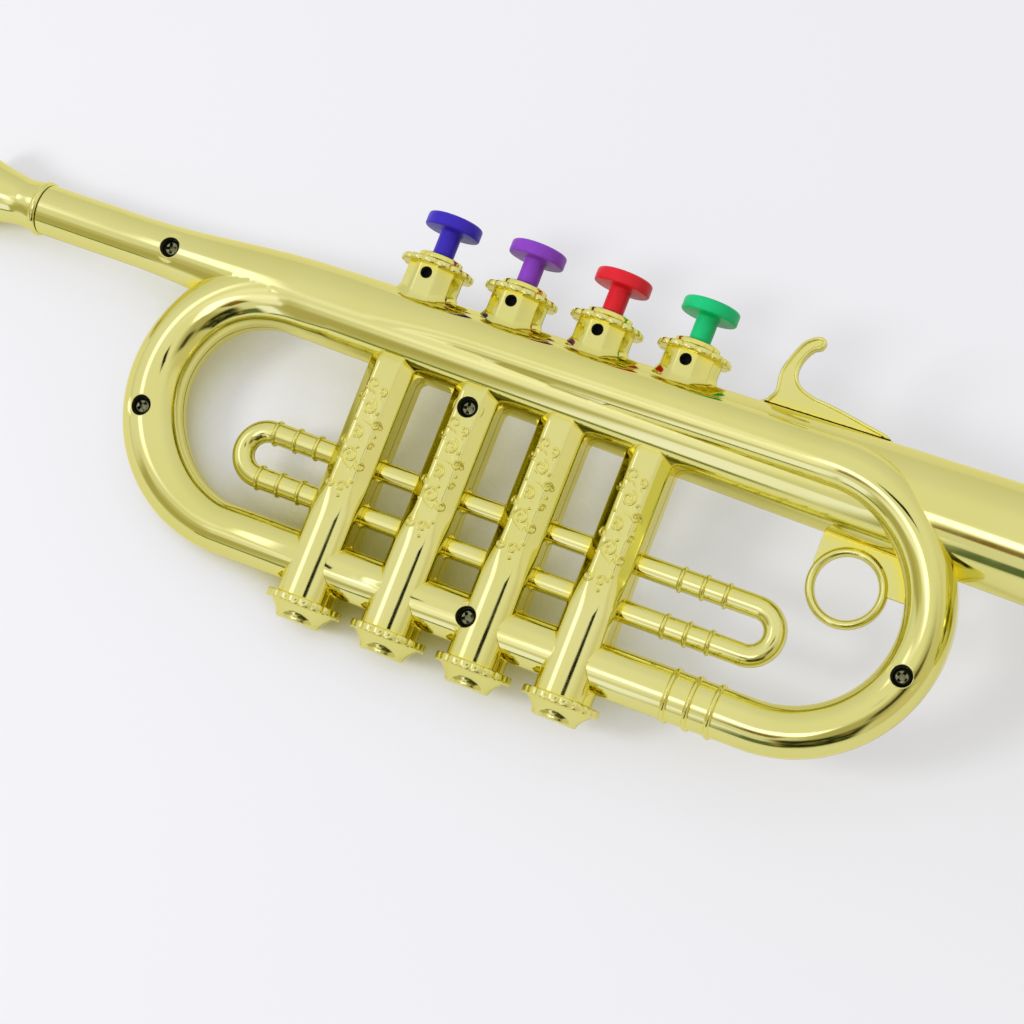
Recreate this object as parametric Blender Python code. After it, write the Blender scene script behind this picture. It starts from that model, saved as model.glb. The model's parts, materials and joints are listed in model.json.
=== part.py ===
"""Toy trumpet with four sprung buttons, in metres.

The instrument is modelled in its own axes: X along the main tube towards the bell, Y up the
valves towards the buttons, Z across the mid-plane, with the origin on the main tube's axis at the
first valve. Two moulded shells meet on the mid-plane. An empty then lays the whole on its side,
on its bell rim, its mouthpiece rim and the first valve's bottom cap.
"""

import math

import bmesh
import bpy
from mathutils import Matrix, Vector

# Moulding
WALL = 0.0018
SEAM_GAP = 0.0003
SEAT_GAP = 0.0003
OVERLAP = 0.001
OVERRUN = 0.002

# Row of valves, from the button end of the row to the bell end
VALVE_COUNT = 4
VALVE_PITCH = 0.026
LAST_VALVE_X = (VALVE_COUNT - 1) * VALVE_PITCH

# Main tube: a straight leadpipe, a swell, then a slow cone up to the bell
LEADPIPE_REACH = 0.1165
LEADPIPE_LENGTH = 0.0285
LEADPIPE_RADIUS = 0.0074
SWELL_LENGTH = 0.060
BODY_RADIUS = 0.0113
BELL_JOINT_REACH = 0.118
BELL_JOINT_RADIUS = 0.0155
BULKHEAD_REACH = 0.014
MAIN_START_X = -LEADPIPE_REACH
LEADPIPE_END_X = MAIN_START_X + LEADPIPE_LENGTH
BODY_START_X = LEADPIPE_END_X + SWELL_LENGTH
BELL_JOINT_X = LAST_VALVE_X + BELL_JOINT_REACH
BULKHEAD_X = LAST_VALVE_X + BULKHEAD_REACH

# Loop: a racetrack whose top run lies as a bead on both faces of the main tube
LOOP_LEFT_REACH = 0.0305
LOOP_RIGHT_REACH = 0.0495
LOOP_TOP_RISE = 0.0022
LOOP_BEND_RADIUS = 0.0358
LOOP_TUBE_LEFT = 0.0078
LOOP_TUBE_RIGHT = 0.0069
LOOP_BELT = 0.0015
LOOP_BEAD_LIFT_LEFT = 0.0035
LOOP_BEAD_LIFT_RIGHT = 0.0112
LOOP_LEFT_X = -LOOP_LEFT_REACH
LOOP_RIGHT_X = LAST_VALVE_X + LOOP_RIGHT_REACH
LOOP_CENTRE_Y = LOOP_TOP_RISE - LOOP_BEND_RADIUS
LOOP_BOTTOM_Y = LOOP_TOP_RISE - 2 * LOOP_BEND_RADIUS
LOOP_SETTLE_SHARE = 0.67
LOOP_LEAVE_SHARE = 0.5
LOOP_FIRST_BEAD = 0.0278
LOOP_BEAD_PITCH = 0.0063
LOOP_BEAD_HEIGHT = 0.0007
BEAD_LENGTH = 0.0018
BEAD_COUNT = 3
BEAD_SHARES = ((-0.5, 0.0), (0.0, 1.0), (0.5, 0.0))

# Valve casings
CASING_HALF_WIDTH = 0.0070
CASING_FLANK_DEPTH = 0.0055
CASING_FRONT_DEPTH = 0.0093
CASING_NOSE_DEPTH = 0.0100
CASING_TOP_DROP = 0.0060
CASING_SHOULDER_DROP = 0.0105
CASING_FACET_END_DROP = 0.0500
CASING_ROUND_DROP = 0.0530
CASING_HOLLOW_TOP_DROP = 0.0150
CASING_FLOOR_THICKNESS = 0.0030
CASING_TOP_DEPTH_SHARE = 0.78
CASING_FACET_SHARES = ((1.0, 0.0), (0.73, 0.5), (0.46, 1.0))
CASING_ROUND_SHARES = ((1.0, 0.0), (0.86, 0.62), (0.62, 1.0))

# Bottom caps
CAP_FLANGE_DROP = 0.0815
CAP_FLANGE_THICKNESS = 0.0028
CAP_FLANGE_RADIUS = 0.0110
CAP_LOBES = 18
CAP_LOBE_HEIGHT = 0.0009
CAP_COLLAR_RADIUS = 0.0083
CAP_COLLAR_LENGTH = 0.0050
CAP_NECK_RADIUS = 0.0065
CAP_NECK_LENGTH = 0.0046
CAP_NECK_FLARE = 0.0010
CAP_NECK_SHARES = (0.0, 0.45, 1.0)

# Cross tubes between the casings, in line with the legs of the two U slides
UPPER_ROW_DROP = 0.0392
LOWER_ROW_DROP = 0.0526
CROSS_TUBE_RADIUS = 0.0030
SLIDE_TUBE_RADIUS = 0.0032
SLIDE_BEAD_HEIGHT = 0.0006
SLIDE_LEFT_REACH = 0.0270
SLIDE_RIGHT_REACH = 0.0413
SLIDE_FIRST_BEAD_LEFT = 0.0130
SLIDE_FIRST_BEAD_RIGHT = 0.0193
SLIDE_BEAD_PITCH = 0.0065

# Finger ring and its web
RING_REACH = 0.0613
RING_DROP = 0.0266
RING_RADIUS = 0.0098
RING_BAR_RADIUS = 0.0013
RING_BAR_DEPTH = 0.0019
WEB_HALF_THICKNESS = 0.0010
WEB_LEFT_REACH = 0.0506
WEB_LEFT_DROP = 0.0225
WEB_RIGHT_DROP = 0.0254

# Finger hook on top of the main tube
HOOK_REACH = 0.0218
HOOK_LENGTH = 0.0380
HOOK_HEIGHT = 0.0215
HOOK_HALF_THICKNESS = 0.0016
HOOK_RISE = 0.0140
HOOK_ROOT = 0.0030
HOOK_OUTLINE_SHARES = (
    (0.045, 0.05),
    (0.075, 0.18),
    (0.060, 0.42),
    (0.095, 0.67),
    (0.150, 0.88),
    (0.235, 0.99),
    (0.295, 0.97),
    (0.290, 0.86),
    (0.235, 0.79),
    (0.190, 0.63),
    (0.185, 0.46),
    (0.235, 0.33),
    (0.340, 0.25),
    (0.520, 0.21),
    (0.740, 0.14),
    (0.960, 0.05),
)

# Turrets above the main tube, which hold the buttons
TURRET_SIDES = 10
TURRET_RADIUS = 0.0085
TURRET_BASE_RADIUS = 0.0103
TURRET_BASE_RISE = 0.0124
TURRET_BASE_DEPTH = 0.0074
TURRET_FLANGE_RISE = 0.0200
TURRET_FLANGE_THICKNESS = 0.0018
TURRET_FLANGE_RADIUS = 0.01075
TURRET_LOBES = 14
TURRET_LOBE_HEIGHT = 0.0010
TURRET_JOIN_OVERLAP = 0.0005
TURRET_ROOF_RISE = 0.0207
TURRET_TOP_RISE = 0.0232
BOSS_RADIUS = 0.0065
BOSS_GROOVE_DEPTH = 0.0007
BOSS_CAP_THICKNESS = 0.0015
SOUND_HOLE_RADIUS = 0.0017
SOUND_HOLE_RISE = 0.0166

# Valve chamber inside each turret
CHAMBER_RADIUS = 0.0062
CHAMBER_FLOOR_DROP = 0.0010
CUP_WALL = 0.0015
WIND_HOLE_RADIUS = 0.0042

# Buttons
STEM_RADIUS = 0.0031
STEM_CLEARANCE = 0.0002
HEAD_RADIUS = 0.0081
HEAD_RISE = 0.03085
HEAD_THICKNESS = 0.0039
HEAD_ROUNDING = 0.0007
SPIGOT_RADIUS = 0.0019
SPIGOT_LENGTH = 0.0060

# Pistons, springs and reeds inside the chambers
PISTON_CLEARANCE = 0.0002
PISTON_LENGTH = 0.0079
PISTON_NOTCH_RADIUS = 0.0012
PISTON_NOTCHES = 4
SPRING_WIRE_RADIUS = 0.00028
SPRING_SIDE_CLEARANCE = 0.0007
SPRING_TURNS = 4
REED_BLOCK_HEIGHT = 0.0045
REED_SLOT_WIDTH = 0.0022
REED_SLOT_LENGTH = 0.0068
REED_THICKNESS = 0.0003
REED_WIDTH = 0.0017
REED_LENGTH = 0.0082

# Mouthpiece
MOUTHPIECE_COLLAR_RADIUS = 0.0081
MOUTHPIECE_COLLAR_LENGTH = 0.0022
MOUTHPIECE_COLLAR_ROUNDING = 0.0006
MOUTHPIECE_WAIST_RADIUS = 0.0070
MOUTHPIECE_WAIST_REACH = 0.0075
MOUTHPIECE_CUP_RADIUS = 0.0100
MOUTHPIECE_CUP_REACH = 0.0225
MOUTHPIECE_FLARE_SHARES = (0.4, 0.75, 1.0)
MOUTHPIECE_FLARE_POWER = 1.3
MOUTHPIECE_RIM_RADIUS = 0.0125
MOUTHPIECE_LENGTH = 0.0330
MOUTHPIECE_RIM_BEAD = 0.0013
MOUTHPIECE_RIM_SHARES = ((3.0, 1.0), (2.0, 0.0), (0.5, 0.0), (0.0, 1.0), (0.0, 2.0), (1.0, 3.0))
MOUTHPIECE_BORE_RADIUS = 0.0030
MOUTHPIECE_CUP_DEPTH = 0.0110
MOUTHPIECE_CUP_WAIST_SHARES = (0.6, 0.45)
SHANK_LENGTH = 0.0100

# Bell
BELL_LENGTH = 0.0740
BELL_RIM_RADIUS = 0.0510
BELL_RIM_BEAD = 0.0013
BELL_RIM_OUTER_SHARES = ((0.3, 1.0), (1.7, 1.0), (2.0, 0.5))
BELL_RIM_INNER_DEPTH_SHARE = 1.4
BELL_WALL = 0.0016
BELL_WALL_LEAN_SHARE = 0.8
BELL_THROAT_GROWTH_SHARE = 0.30
BELL_FLARE_POWER = 4.5
BELL_STATION_POWER = 1.5
BELL_SPIGOT_LENGTH = 0.0100

# Shell screws, each in a well on the front face
SCREW_HEAD_RADIUS = 0.0025
SCREW_HEAD_HEIGHT = 0.0018
SCREW_HEAD_SHARES = ((0.0, 1.0), (0.45, 1.0), (0.85, 0.8), (1.0, 0.45))
SCREW_SHANK_RADIUS = 0.0011
SCREW_WELL_RADIUS = 0.0030
SCREW_WELL_DEPTH = 0.0034
SCREW_POST_RADIUS = 0.0044
SCREW_HOLE_RADIUS = 0.0014
SCREW_LENGTH = 0.0100
SCREW_LEADPIPE_REACH = 0.0751
SCREW_CASING_DROP = 0.0155
SCREW_RUN_CLEARANCE = 0.0022
SCREW_LEFT_BEND_DROP = 0.0120
SCREW_RIGHT_BEND_DROP = 0.0107

# How finely the round pieces are divided
MAIN_SIDES = 20
SMALL_TUBE_SIDES = 8
LOOP_RUN_STEPS = 4
LOOP_BEND_STEPS = 12
SLIDE_BEND_STEPS = 6
SWELL_STEPS = 3
ARCH_STEPS = 6
HOLLOW_ARCH_STEPS = 3
BUTTON_SIDES = 20
CHAMBER_SIDES = 12
HOLE_SIDES = 8
BELL_SIDES = 32
BELL_STEPS = 9
RING_SIDES = 20
RING_BAR_SIDES = 6
LOBE_STEPS = 3
HOOK_STEPS = 2
COIL_POINTS_PER_TURN = 8
WIRE_SIDES = 4
SMOOTH_ANGLE = math.radians(34)


def clear_scene():
    for item in list(bpy.data.objects):
        bpy.data.objects.remove(item, do_unlink=True)


def make_material(name, colour, roughness, metallic):
    material = bpy.data.materials.new(name)
    material.use_nodes = True
    shader = material.node_tree.nodes["Principled BSDF"]
    shader.inputs["Base Color"].default_value = (*colour, 1.0)
    shader.inputs["Roughness"].default_value = roughness
    shader.inputs["Metallic"].default_value = metallic
    return material


def make_object(name, bm):
    bmesh.ops.recalc_face_normals(bm, faces=bm.faces)
    mesh = bpy.data.meshes.new(name)
    bm.to_mesh(mesh)
    bm.free()
    item = bpy.data.objects.new(name, mesh)
    bpy.context.scene.collection.objects.link(item)
    return item


def loft(name, rings, closed=False):
    """A skin through rings of points: capped at both ends, or closed on itself."""
    bm = bmesh.new()
    rows = [[bm.verts.new(point) for point in ring] for ring in rings]
    pairs = list(zip(rows, rows[1:]))
    if closed:
        pairs.append((rows[-1], rows[0]))
    for lower, upper in pairs:
        for here in range(len(lower)):
            after = (here + 1) % len(lower)
            bm.faces.new((lower[here], lower[after], upper[after], upper[here]))
    if not closed:
        bm.faces.new(rows[0][::-1])
        bm.faces.new(rows[-1])
    return make_object(name, bm)


def plate(name, outline, half_thickness):
    """A flat plate on the mid-plane with the given outline in X and Y."""
    rings = [[Vector((x, y, z)) for x, y in outline] for z in (-half_thickness, half_thickness)]
    return loft(name, rings)


def around(sides, turn_share=0.0):
    return [math.tau * (index + turn_share) / sides for index in range(sides)]


def ring_x(x, radius, sides, y=0.0, z=0.0):
    return [Vector((x, y + radius * math.cos(a), z + radius * math.sin(a))) for a in around(sides, 0.5)]


def ring_y(y, radius, sides, x=0.0, z=0.0):
    return [Vector((x + radius * math.sin(a), y, z + radius * math.cos(a))) for a in around(sides, 0.5)]


def ring_z(z, radius, sides, x=0.0, y=0.0):
    return [Vector((x + radius * math.cos(a), y + radius * math.sin(a), z)) for a in around(sides)]


def lobed_ring(y, radius, lobe_height, lobes, x=0.0):
    """A scalloped edge: each lobe rises by lobe_height between two valleys."""
    points = []
    steps = lobes * LOBE_STEPS
    for index in range(steps):
        angle = math.tau * (index + 0.5) / steps
        swing = (1 + math.cos(lobes * angle)) / 2
        reach = radius - lobe_height * (1 - swing)
        points.append(Vector((x + reach * math.sin(angle), y, reach * math.cos(angle))))
    return points


def rod_x(name, start, end, radius, sides, y=0.0, z=0.0):
    return loft(name, [ring_x(start, radius, sides, y, z), ring_x(end, radius, sides, y, z)])


def rod_y(name, start, end, radius, sides, x=0.0, z=0.0):
    return loft(name, [ring_y(start, radius, sides, x, z), ring_y(end, radius, sides, x, z)])


def rod_z(name, start, end, radius, sides, x=0.0, y=0.0):
    return loft(name, [ring_z(start, radius, sides, x, y), ring_z(end, radius, sides, x, y)])


def turned_y(name, profile, sides, x=0.0):
    """A solid turned about Y from pairs of height and radius."""
    return loft(name, [ring_y(y, radius, sides, x) for y, radius in profile])


def smooth_step(share):
    share = min(max(share, 0.0), 1.0)
    return share * share * (3 - 2 * share)


def blend(low, high, share):
    return low + (high - low) * share


def combine(target, operation, others):
    """Joins the others to the target, or cuts them from it, and leaves a plain mesh."""
    helpers = bpy.data.collections.new("helpers")
    for other in others:
        helpers.objects.link(other)
    modifier = target.modifiers.new("combine", "BOOLEAN")
    modifier.operation = operation
    modifier.solver = "EXACT"
    modifier.operand_type = "COLLECTION"
    modifier.collection = helpers
    graph = bpy.context.evaluated_depsgraph_get()
    shape = bpy.data.meshes.new_from_object(target.evaluated_get(graph))
    target.modifiers.clear()
    target.data = shape
    for other in others:
        bpy.data.objects.remove(other, do_unlink=True)
    bpy.data.collections.remove(helpers)
    return target


def fitting_radius(bore_radius, bore_sides):
    """The radius that a plug may have in a bore with flat facets."""
    return bore_radius * math.cos(math.pi / bore_sides) - SEAT_GAP


def valve_places():
    return [index * VALVE_PITCH for index in range(VALVE_COUNT)]


# The two shells


def main_radius(x):
    """Outer radius of the main tube at a place along it."""
    swell = smooth_step((x - LEADPIPE_END_X) / SWELL_LENGTH)
    cone = max((x - BODY_START_X) / (BELL_JOINT_X - BODY_START_X), 0.0)
    start = blend(LEADPIPE_RADIUS, BODY_RADIUS, swell)
    return start + (BELL_JOINT_RADIUS - BODY_RADIUS) * cone


def main_stations(start, end):
    swell = [LEADPIPE_END_X + SWELL_LENGTH * step / SWELL_STEPS for step in range(SWELL_STEPS + 1)]
    inside = [x for x in swell if start + OVERRUN < x < end - OVERRUN]
    return [start, *inside, end]


def main_tube(name, start, end, inset):
    stations = main_stations(start, end)
    return loft(name, [ring_x(x, main_radius(x) - inset, MAIN_SIDES) for x in stations])


def loop_radius(x):
    low = LOOP_LEFT_X - LOOP_BEND_RADIUS
    high = LOOP_RIGHT_X + LOOP_BEND_RADIUS
    return blend(LOOP_TUBE_LEFT, LOOP_TUBE_RIGHT, (x - low) / (high - low))


def loop_section(centre, outward, radius, lift, steps):
    """An arch on each face: a half round whose centre stands off the mid-plane by lift."""
    angles = [math.pi * step / steps for step in range(steps + 1)]
    front = [(radius * math.cos(a), lift + radius * math.sin(a)) for a in angles]
    back = [(across, -height) for across, height in reversed(front)]
    return [Vector((*(centre + outward * across), height)) for across, height in front + back]


def loop_stops():
    """Centre, outward direction, lift and bead height at each stop round the racetrack."""
    stops = []
    run = LOOP_RIGHT_X - LOOP_LEFT_X
    for step in range(LOOP_RUN_STEPS):
        share = step / LOOP_RUN_STEPS
        lift = blend(LOOP_BEAD_LIFT_LEFT, LOOP_BEAD_LIFT_RIGHT, share)
        stops.append((Vector((LOOP_LEFT_X + run * share, LOOP_TOP_RISE)), Vector((0, 1)), lift, 0.0))
    for step in range(LOOP_BEND_STEPS + 1):
        share = step / LOOP_BEND_STEPS
        outward = Vector((math.sin(math.pi * share), math.cos(math.pi * share)))
        centre = Vector((LOOP_RIGHT_X, LOOP_CENTRE_Y)) + outward * LOOP_BEND_RADIUS
        lift = blend(LOOP_BEAD_LIFT_RIGHT, LOOP_BELT, smooth_step(share / LOOP_SETTLE_SHARE))
        stops.append((centre, outward, lift, 0.0))
    for bead in reversed(range(BEAD_COUNT)):
        middle = LAST_VALVE_X + LOOP_FIRST_BEAD + LOOP_BEAD_PITCH * bead
        for along, up in reversed(BEAD_SHARES):
            centre = Vector((middle + BEAD_LENGTH * along, LOOP_BOTTOM_Y))
            stops.append((centre, Vector((0, -1)), LOOP_BELT, LOOP_BEAD_HEIGHT * up))
    for step in range(LOOP_BEND_STEPS):
        share = step / LOOP_BEND_STEPS
        outward = Vector((-math.sin(math.pi * share), -math.cos(math.pi * share)))
        centre = Vector((LOOP_LEFT_X, LOOP_CENTRE_Y)) + outward * LOOP_BEND_RADIUS
        risen = smooth_step((share - LOOP_LEAVE_SHARE) / (1 - LOOP_LEAVE_SHARE))
        lift = blend(LOOP_BELT, LOOP_BEAD_LIFT_LEFT, risen)
        stops.append((centre, outward, lift, 0.0))
    return stops


def loop(name):
    rings = []
    for centre, outward, lift, bead in loop_stops():
        rings.append(loop_section(centre, outward, loop_radius(centre.x) + bead, lift, ARCH_STEPS))
    return loft(name, rings, closed=True)


def loop_hollow(name):
    rings = []
    for centre, outward, lift, bead in loop_stops():
        radius = loop_radius(centre.x) - WALL
        if not bead:
            rings.append(loop_section(centre, outward, radius, lift, HOLLOW_ARCH_STEPS))
    return loft(name, rings, closed=True)


def casing_section(y, x, inset, depth_share, rounded):
    """Half an octagon on each face, whose front flat can swell to a round nose."""
    half = CASING_HALF_WIDTH - inset
    flank = CASING_FLANK_DEPTH * depth_share - inset / 2
    flat = CASING_FRONT_DEPTH * depth_share - inset
    nose = (CASING_NOSE_DEPTH if rounded else CASING_FRONT_DEPTH) * depth_share - inset
    shares = CASING_ROUND_SHARES if rounded else CASING_FACET_SHARES
    front = [(half * across, blend(flank, flat, deep)) for across, deep in shares]
    front.append((0.0, nose))
    front += [(-across, depth) for across, depth in reversed(front[:-1])]
    outline = front + [(across, -depth) for across, depth in reversed(front)]
    return [Vector((x + across, y, depth)) for across, depth in outline]


def casing(name, x):
    rings = [
        casing_section(-CASING_TOP_DROP, x, 0.0, CASING_TOP_DEPTH_SHARE, False),
        casing_section(-CASING_SHOULDER_DROP, x, 0.0, 1.0, False),
        casing_section(-CASING_FACET_END_DROP, x, 0.0, 1.0, False),
        casing_section(-CASING_ROUND_DROP, x, 0.0, 1.0, True),
        casing_section(-CAP_FLANGE_DROP, x, 0.0, 1.0, True),
    ]
    return loft(name, rings)


def casing_hollow(name, x):
    floor = CAP_FLANGE_DROP - CAP_FLANGE_THICKNESS / 2 - CASING_FLOOR_THICKNESS
    rings = [
        casing_section(-CASING_HOLLOW_TOP_DROP, x, WALL, 1.0, False),
        casing_section(-floor, x, WALL, 1.0, False),
    ]
    return loft(name, rings)


def bottom_cap(name, x):
    top = CAP_FLANGE_THICKNESS / 2 - CAP_FLANGE_DROP
    low = -CAP_FLANGE_DROP - CAP_FLANGE_THICKNESS / 2
    flange = [lobed_ring(y, CAP_FLANGE_RADIUS, CAP_LOBE_HEIGHT, CAP_LOBES, x) for y in (top, low)]
    middle = (top + low) / 2
    wide = CAP_COLLAR_RADIUS + CAP_NECK_FLARE
    turned = [(top + CAP_COLLAR_LENGTH, CAP_COLLAR_RADIUS), (middle, CAP_COLLAR_RADIUS), (middle, wide)]
    for share in CAP_NECK_SHARES:
        reach = blend(wide, CAP_NECK_RADIUS, math.sin(share * math.pi / 2))
        turned.append((low - CAP_NECK_LENGTH * share, reach))
    return [loft(name + "_flange", flange), turned_y(name + "_turned", turned, CHAMBER_SIDES, x)]


def slide_stops(anchor, direction, reach, first_bead):
    """Round a U slide from inside its casing to the bend and back, with beads on both legs."""
    middle = -(UPPER_ROW_DROP + LOWER_ROW_DROP) / 2
    radius = (LOWER_ROW_DROP - UPPER_ROW_DROP) / 2
    leg = [(0.0, 0.0)]
    for bead in range(BEAD_COUNT):
        place = first_bead + SLIDE_BEAD_PITCH * bead
        leg += [(place + BEAD_LENGTH * along, SLIDE_BEAD_HEIGHT * up) for along, up in BEAD_SHARES]
    upper = []
    lower = []
    for along, up in leg:
        x = anchor + direction * along
        upper.append((Vector((x, middle + radius)), Vector((0, 1)), up))
        lower.append((Vector((x, middle - radius)), Vector((0, -1)), up))
    bend = []
    for step in range(SLIDE_BEND_STEPS + 1):
        angle = math.pi * step / SLIDE_BEND_STEPS
        outward = Vector((direction * math.sin(angle), math.cos(angle)))
        centre = Vector((anchor + direction * reach, middle)) + outward * radius
        bend.append((centre, outward, 0.0))
    return upper + bend + lower[::-1]


def slide(name, anchor, direction, reach, first_bead):
    rings = []
    for centre, outward, bead in slide_stops(anchor, direction, reach, first_bead):
        radius = SLIDE_TUBE_RADIUS + bead
        ring = []
        for angle in around(SMALL_TUBE_SIDES, 0.5):
            spot = centre + outward * radius * math.cos(angle)
            ring.append(Vector((*spot, radius * math.sin(angle))))
        rings.append(ring)
    return loft(name, rings)


def finger_ring(name):
    centre = Vector((LAST_VALVE_X + RING_REACH, -RING_DROP))
    rings = []
    for angle in around(RING_SIDES):
        outward = Vector((math.cos(angle), math.sin(angle)))
        ring = []
        for turn in around(RING_BAR_SIDES, 0.5):
            spot = centre + outward * (RING_RADIUS + RING_BAR_RADIUS * math.cos(turn))
            ring.append(Vector((*spot, RING_BAR_DEPTH * math.sin(turn))))
        rings.append(ring)
    return loft(name, rings, closed=True)


def ring_web(name):
    left = LAST_VALVE_X + WEB_LEFT_REACH
    centre_x = LAST_VALVE_X + RING_REACH
    right = LOOP_RIGHT_X + LOOP_BEND_RADIUS
    outline = [
        (left, -LEADPIPE_RADIUS),
        (left, -WEB_LEFT_DROP),
        (centre_x - RING_RADIUS, -RING_DROP),
        (centre_x, -RING_DROP),
        (centre_x + RING_RADIUS, -RING_DROP),
        (centre_x + RING_RADIUS + OVERLAP, -WEB_RIGHT_DROP),
        (right - LOOP_TUBE_RIGHT / 2, -WEB_RIGHT_DROP),
        (right - LOOP_TUBE_RIGHT / 2, -LEADPIPE_RADIUS),
    ]
    return plate(name, outline, WEB_HALF_THICKNESS)


def smooth_outline(points, steps):
    """A closed smooth curve through the points."""
    curve = []
    count = len(points)
    for index in range(count):
        before, start, end, after = (Vector(points[(index + shift) % count]) for shift in (-1, 0, 1, 2))
        for step in range(steps):
            t = step / steps
            bend = (2 * before - 5 * start + 4 * end - after) * t * t
            twist = (3 * start - before - 3 * end + after) * t * t * t
            curve.append((2 * start + (end - before) * t + bend + twist) / 2)
    return curve


def finger_hook(name):
    left = LAST_VALVE_X + HOOK_REACH
    knots = []
    for along, up in HOOK_OUTLINE_SHARES:
        knots.append((left + HOOK_LENGTH * along, HOOK_RISE + HOOK_HEIGHT * up))
    root = HOOK_RISE - HOOK_ROOT
    knots += [(left + HOOK_LENGTH, root), (left, root)]
    return plate(name, smooth_outline(knots, HOOK_STEPS), HOOK_HALF_THICKNESS)


def turret_outside(name, x):
    """Ten-sided turret on its round base, with a scalloped flange and a grooved boss."""
    flange_low = TURRET_FLANGE_RISE - TURRET_FLANGE_THICKNESS / 2
    flange_top = TURRET_FLANGE_RISE + TURRET_FLANGE_THICKNESS / 2
    base_low = TURRET_BASE_RISE - TURRET_BASE_DEPTH
    levels = (base_low, flange_low + TURRET_JOIN_OVERLAP)
    body = [ring_y(y, TURRET_RADIUS, TURRET_SIDES, x) for y in levels]
    base = [(base_low, TURRET_BASE_RADIUS), (TURRET_BASE_RISE, TURRET_BASE_RADIUS)]
    levels = (flange_low, flange_top)
    flange = [lobed_ring(y, TURRET_FLANGE_RADIUS, TURRET_LOBE_HEIGHT, TURRET_LOBES, x) for y in levels]
    cap_low = TURRET_TOP_RISE - BOSS_CAP_THICKNESS
    boss = [
        (flange_top - TURRET_JOIN_OVERLAP, BOSS_RADIUS - BOSS_GROOVE_DEPTH),
        (cap_low, BOSS_RADIUS - BOSS_GROOVE_DEPTH),
        (cap_low, BOSS_RADIUS),
        (TURRET_TOP_RISE, BOSS_RADIUS),
    ]
    return [
        loft(name + "_body", body),
        turned_y(name + "_base", base, CHAMBER_SIDES, x),
        loft(name + "_flange", flange),
        turned_y(name + "_boss", boss, CHAMBER_SIDES, x),
    ]


def cup(name, x):
    """The lower part of the chamber, a cup that hangs into the main tube."""
    low = -CHAMBER_FLOOR_DROP - CUP_WALL
    return rod_y(name, low, TURRET_BASE_RISE - OVERLAP, CHAMBER_RADIUS + CUP_WALL, CHAMBER_SIDES, x)


def chamber_cuts(name, x):
    floor = -CHAMBER_FLOOR_DROP
    below = floor - CUP_WALL - OVERRUN
    above = TURRET_TOP_RISE + OVERRUN
    front = TURRET_RADIUS + OVERRUN
    stem_hole = STEM_RADIUS + STEM_CLEARANCE
    return [
        rod_y(name + "_bore", floor, TURRET_ROOF_RISE, CHAMBER_RADIUS, CHAMBER_SIDES, x),
        rod_y(name + "_wind", below, floor + OVERRUN, WIND_HOLE_RADIUS, HOLE_SIDES, x),
        rod_y(name + "_stem", TURRET_ROOF_RISE - OVERRUN, above, stem_hole, BUTTON_SIDES, x),
        rod_z(name + "_sound", 0.0, front, SOUND_HOLE_RADIUS, HOLE_SIDES, x, SOUND_HOLE_RISE),
    ]


def screw_places():
    """X, Y and the height of the front surface at each screw."""
    left_x = LOOP_LEFT_X - math.sqrt(LOOP_BEND_RADIUS**2 - SCREW_LEFT_BEND_DROP**2)
    right_x = LOOP_RIGHT_X + math.sqrt(LOOP_BEND_RADIUS**2 - SCREW_RIGHT_BEND_DROP**2)
    run_x = 2 * VALVE_PITCH - CASING_HALF_WIDTH + SCREW_RUN_CLEARANCE
    return [
        (-SCREW_LEADPIPE_REACH, 0.0, main_radius(-SCREW_LEADPIPE_REACH)),
        (left_x, LOOP_CENTRE_Y - SCREW_LEFT_BEND_DROP, LOOP_BELT + LOOP_TUBE_LEFT),
        (VALVE_PITCH, -SCREW_CASING_DROP, CASING_FRONT_DEPTH),
        (run_x, LOOP_BOTTOM_Y, LOOP_BELT + loop_radius(run_x)),
        (right_x, LOOP_CENTRE_Y - SCREW_RIGHT_BEND_DROP, LOOP_BELT + LOOP_TUBE_RIGHT),
    ]


def screw_shape():
    """A pan-head screw, with the origin under its head."""
    profile = [(-SCREW_LENGTH, SCREW_SHANK_RADIUS), (0.0, SCREW_SHANK_RADIUS)]
    profile += [(SCREW_HEAD_HEIGHT * up, SCREW_HEAD_RADIUS * out) for up, out in SCREW_HEAD_SHARES]
    return loft("screw_shape", [ring_z(z, radius, HOLE_SIDES) for z, radius in profile])


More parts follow.
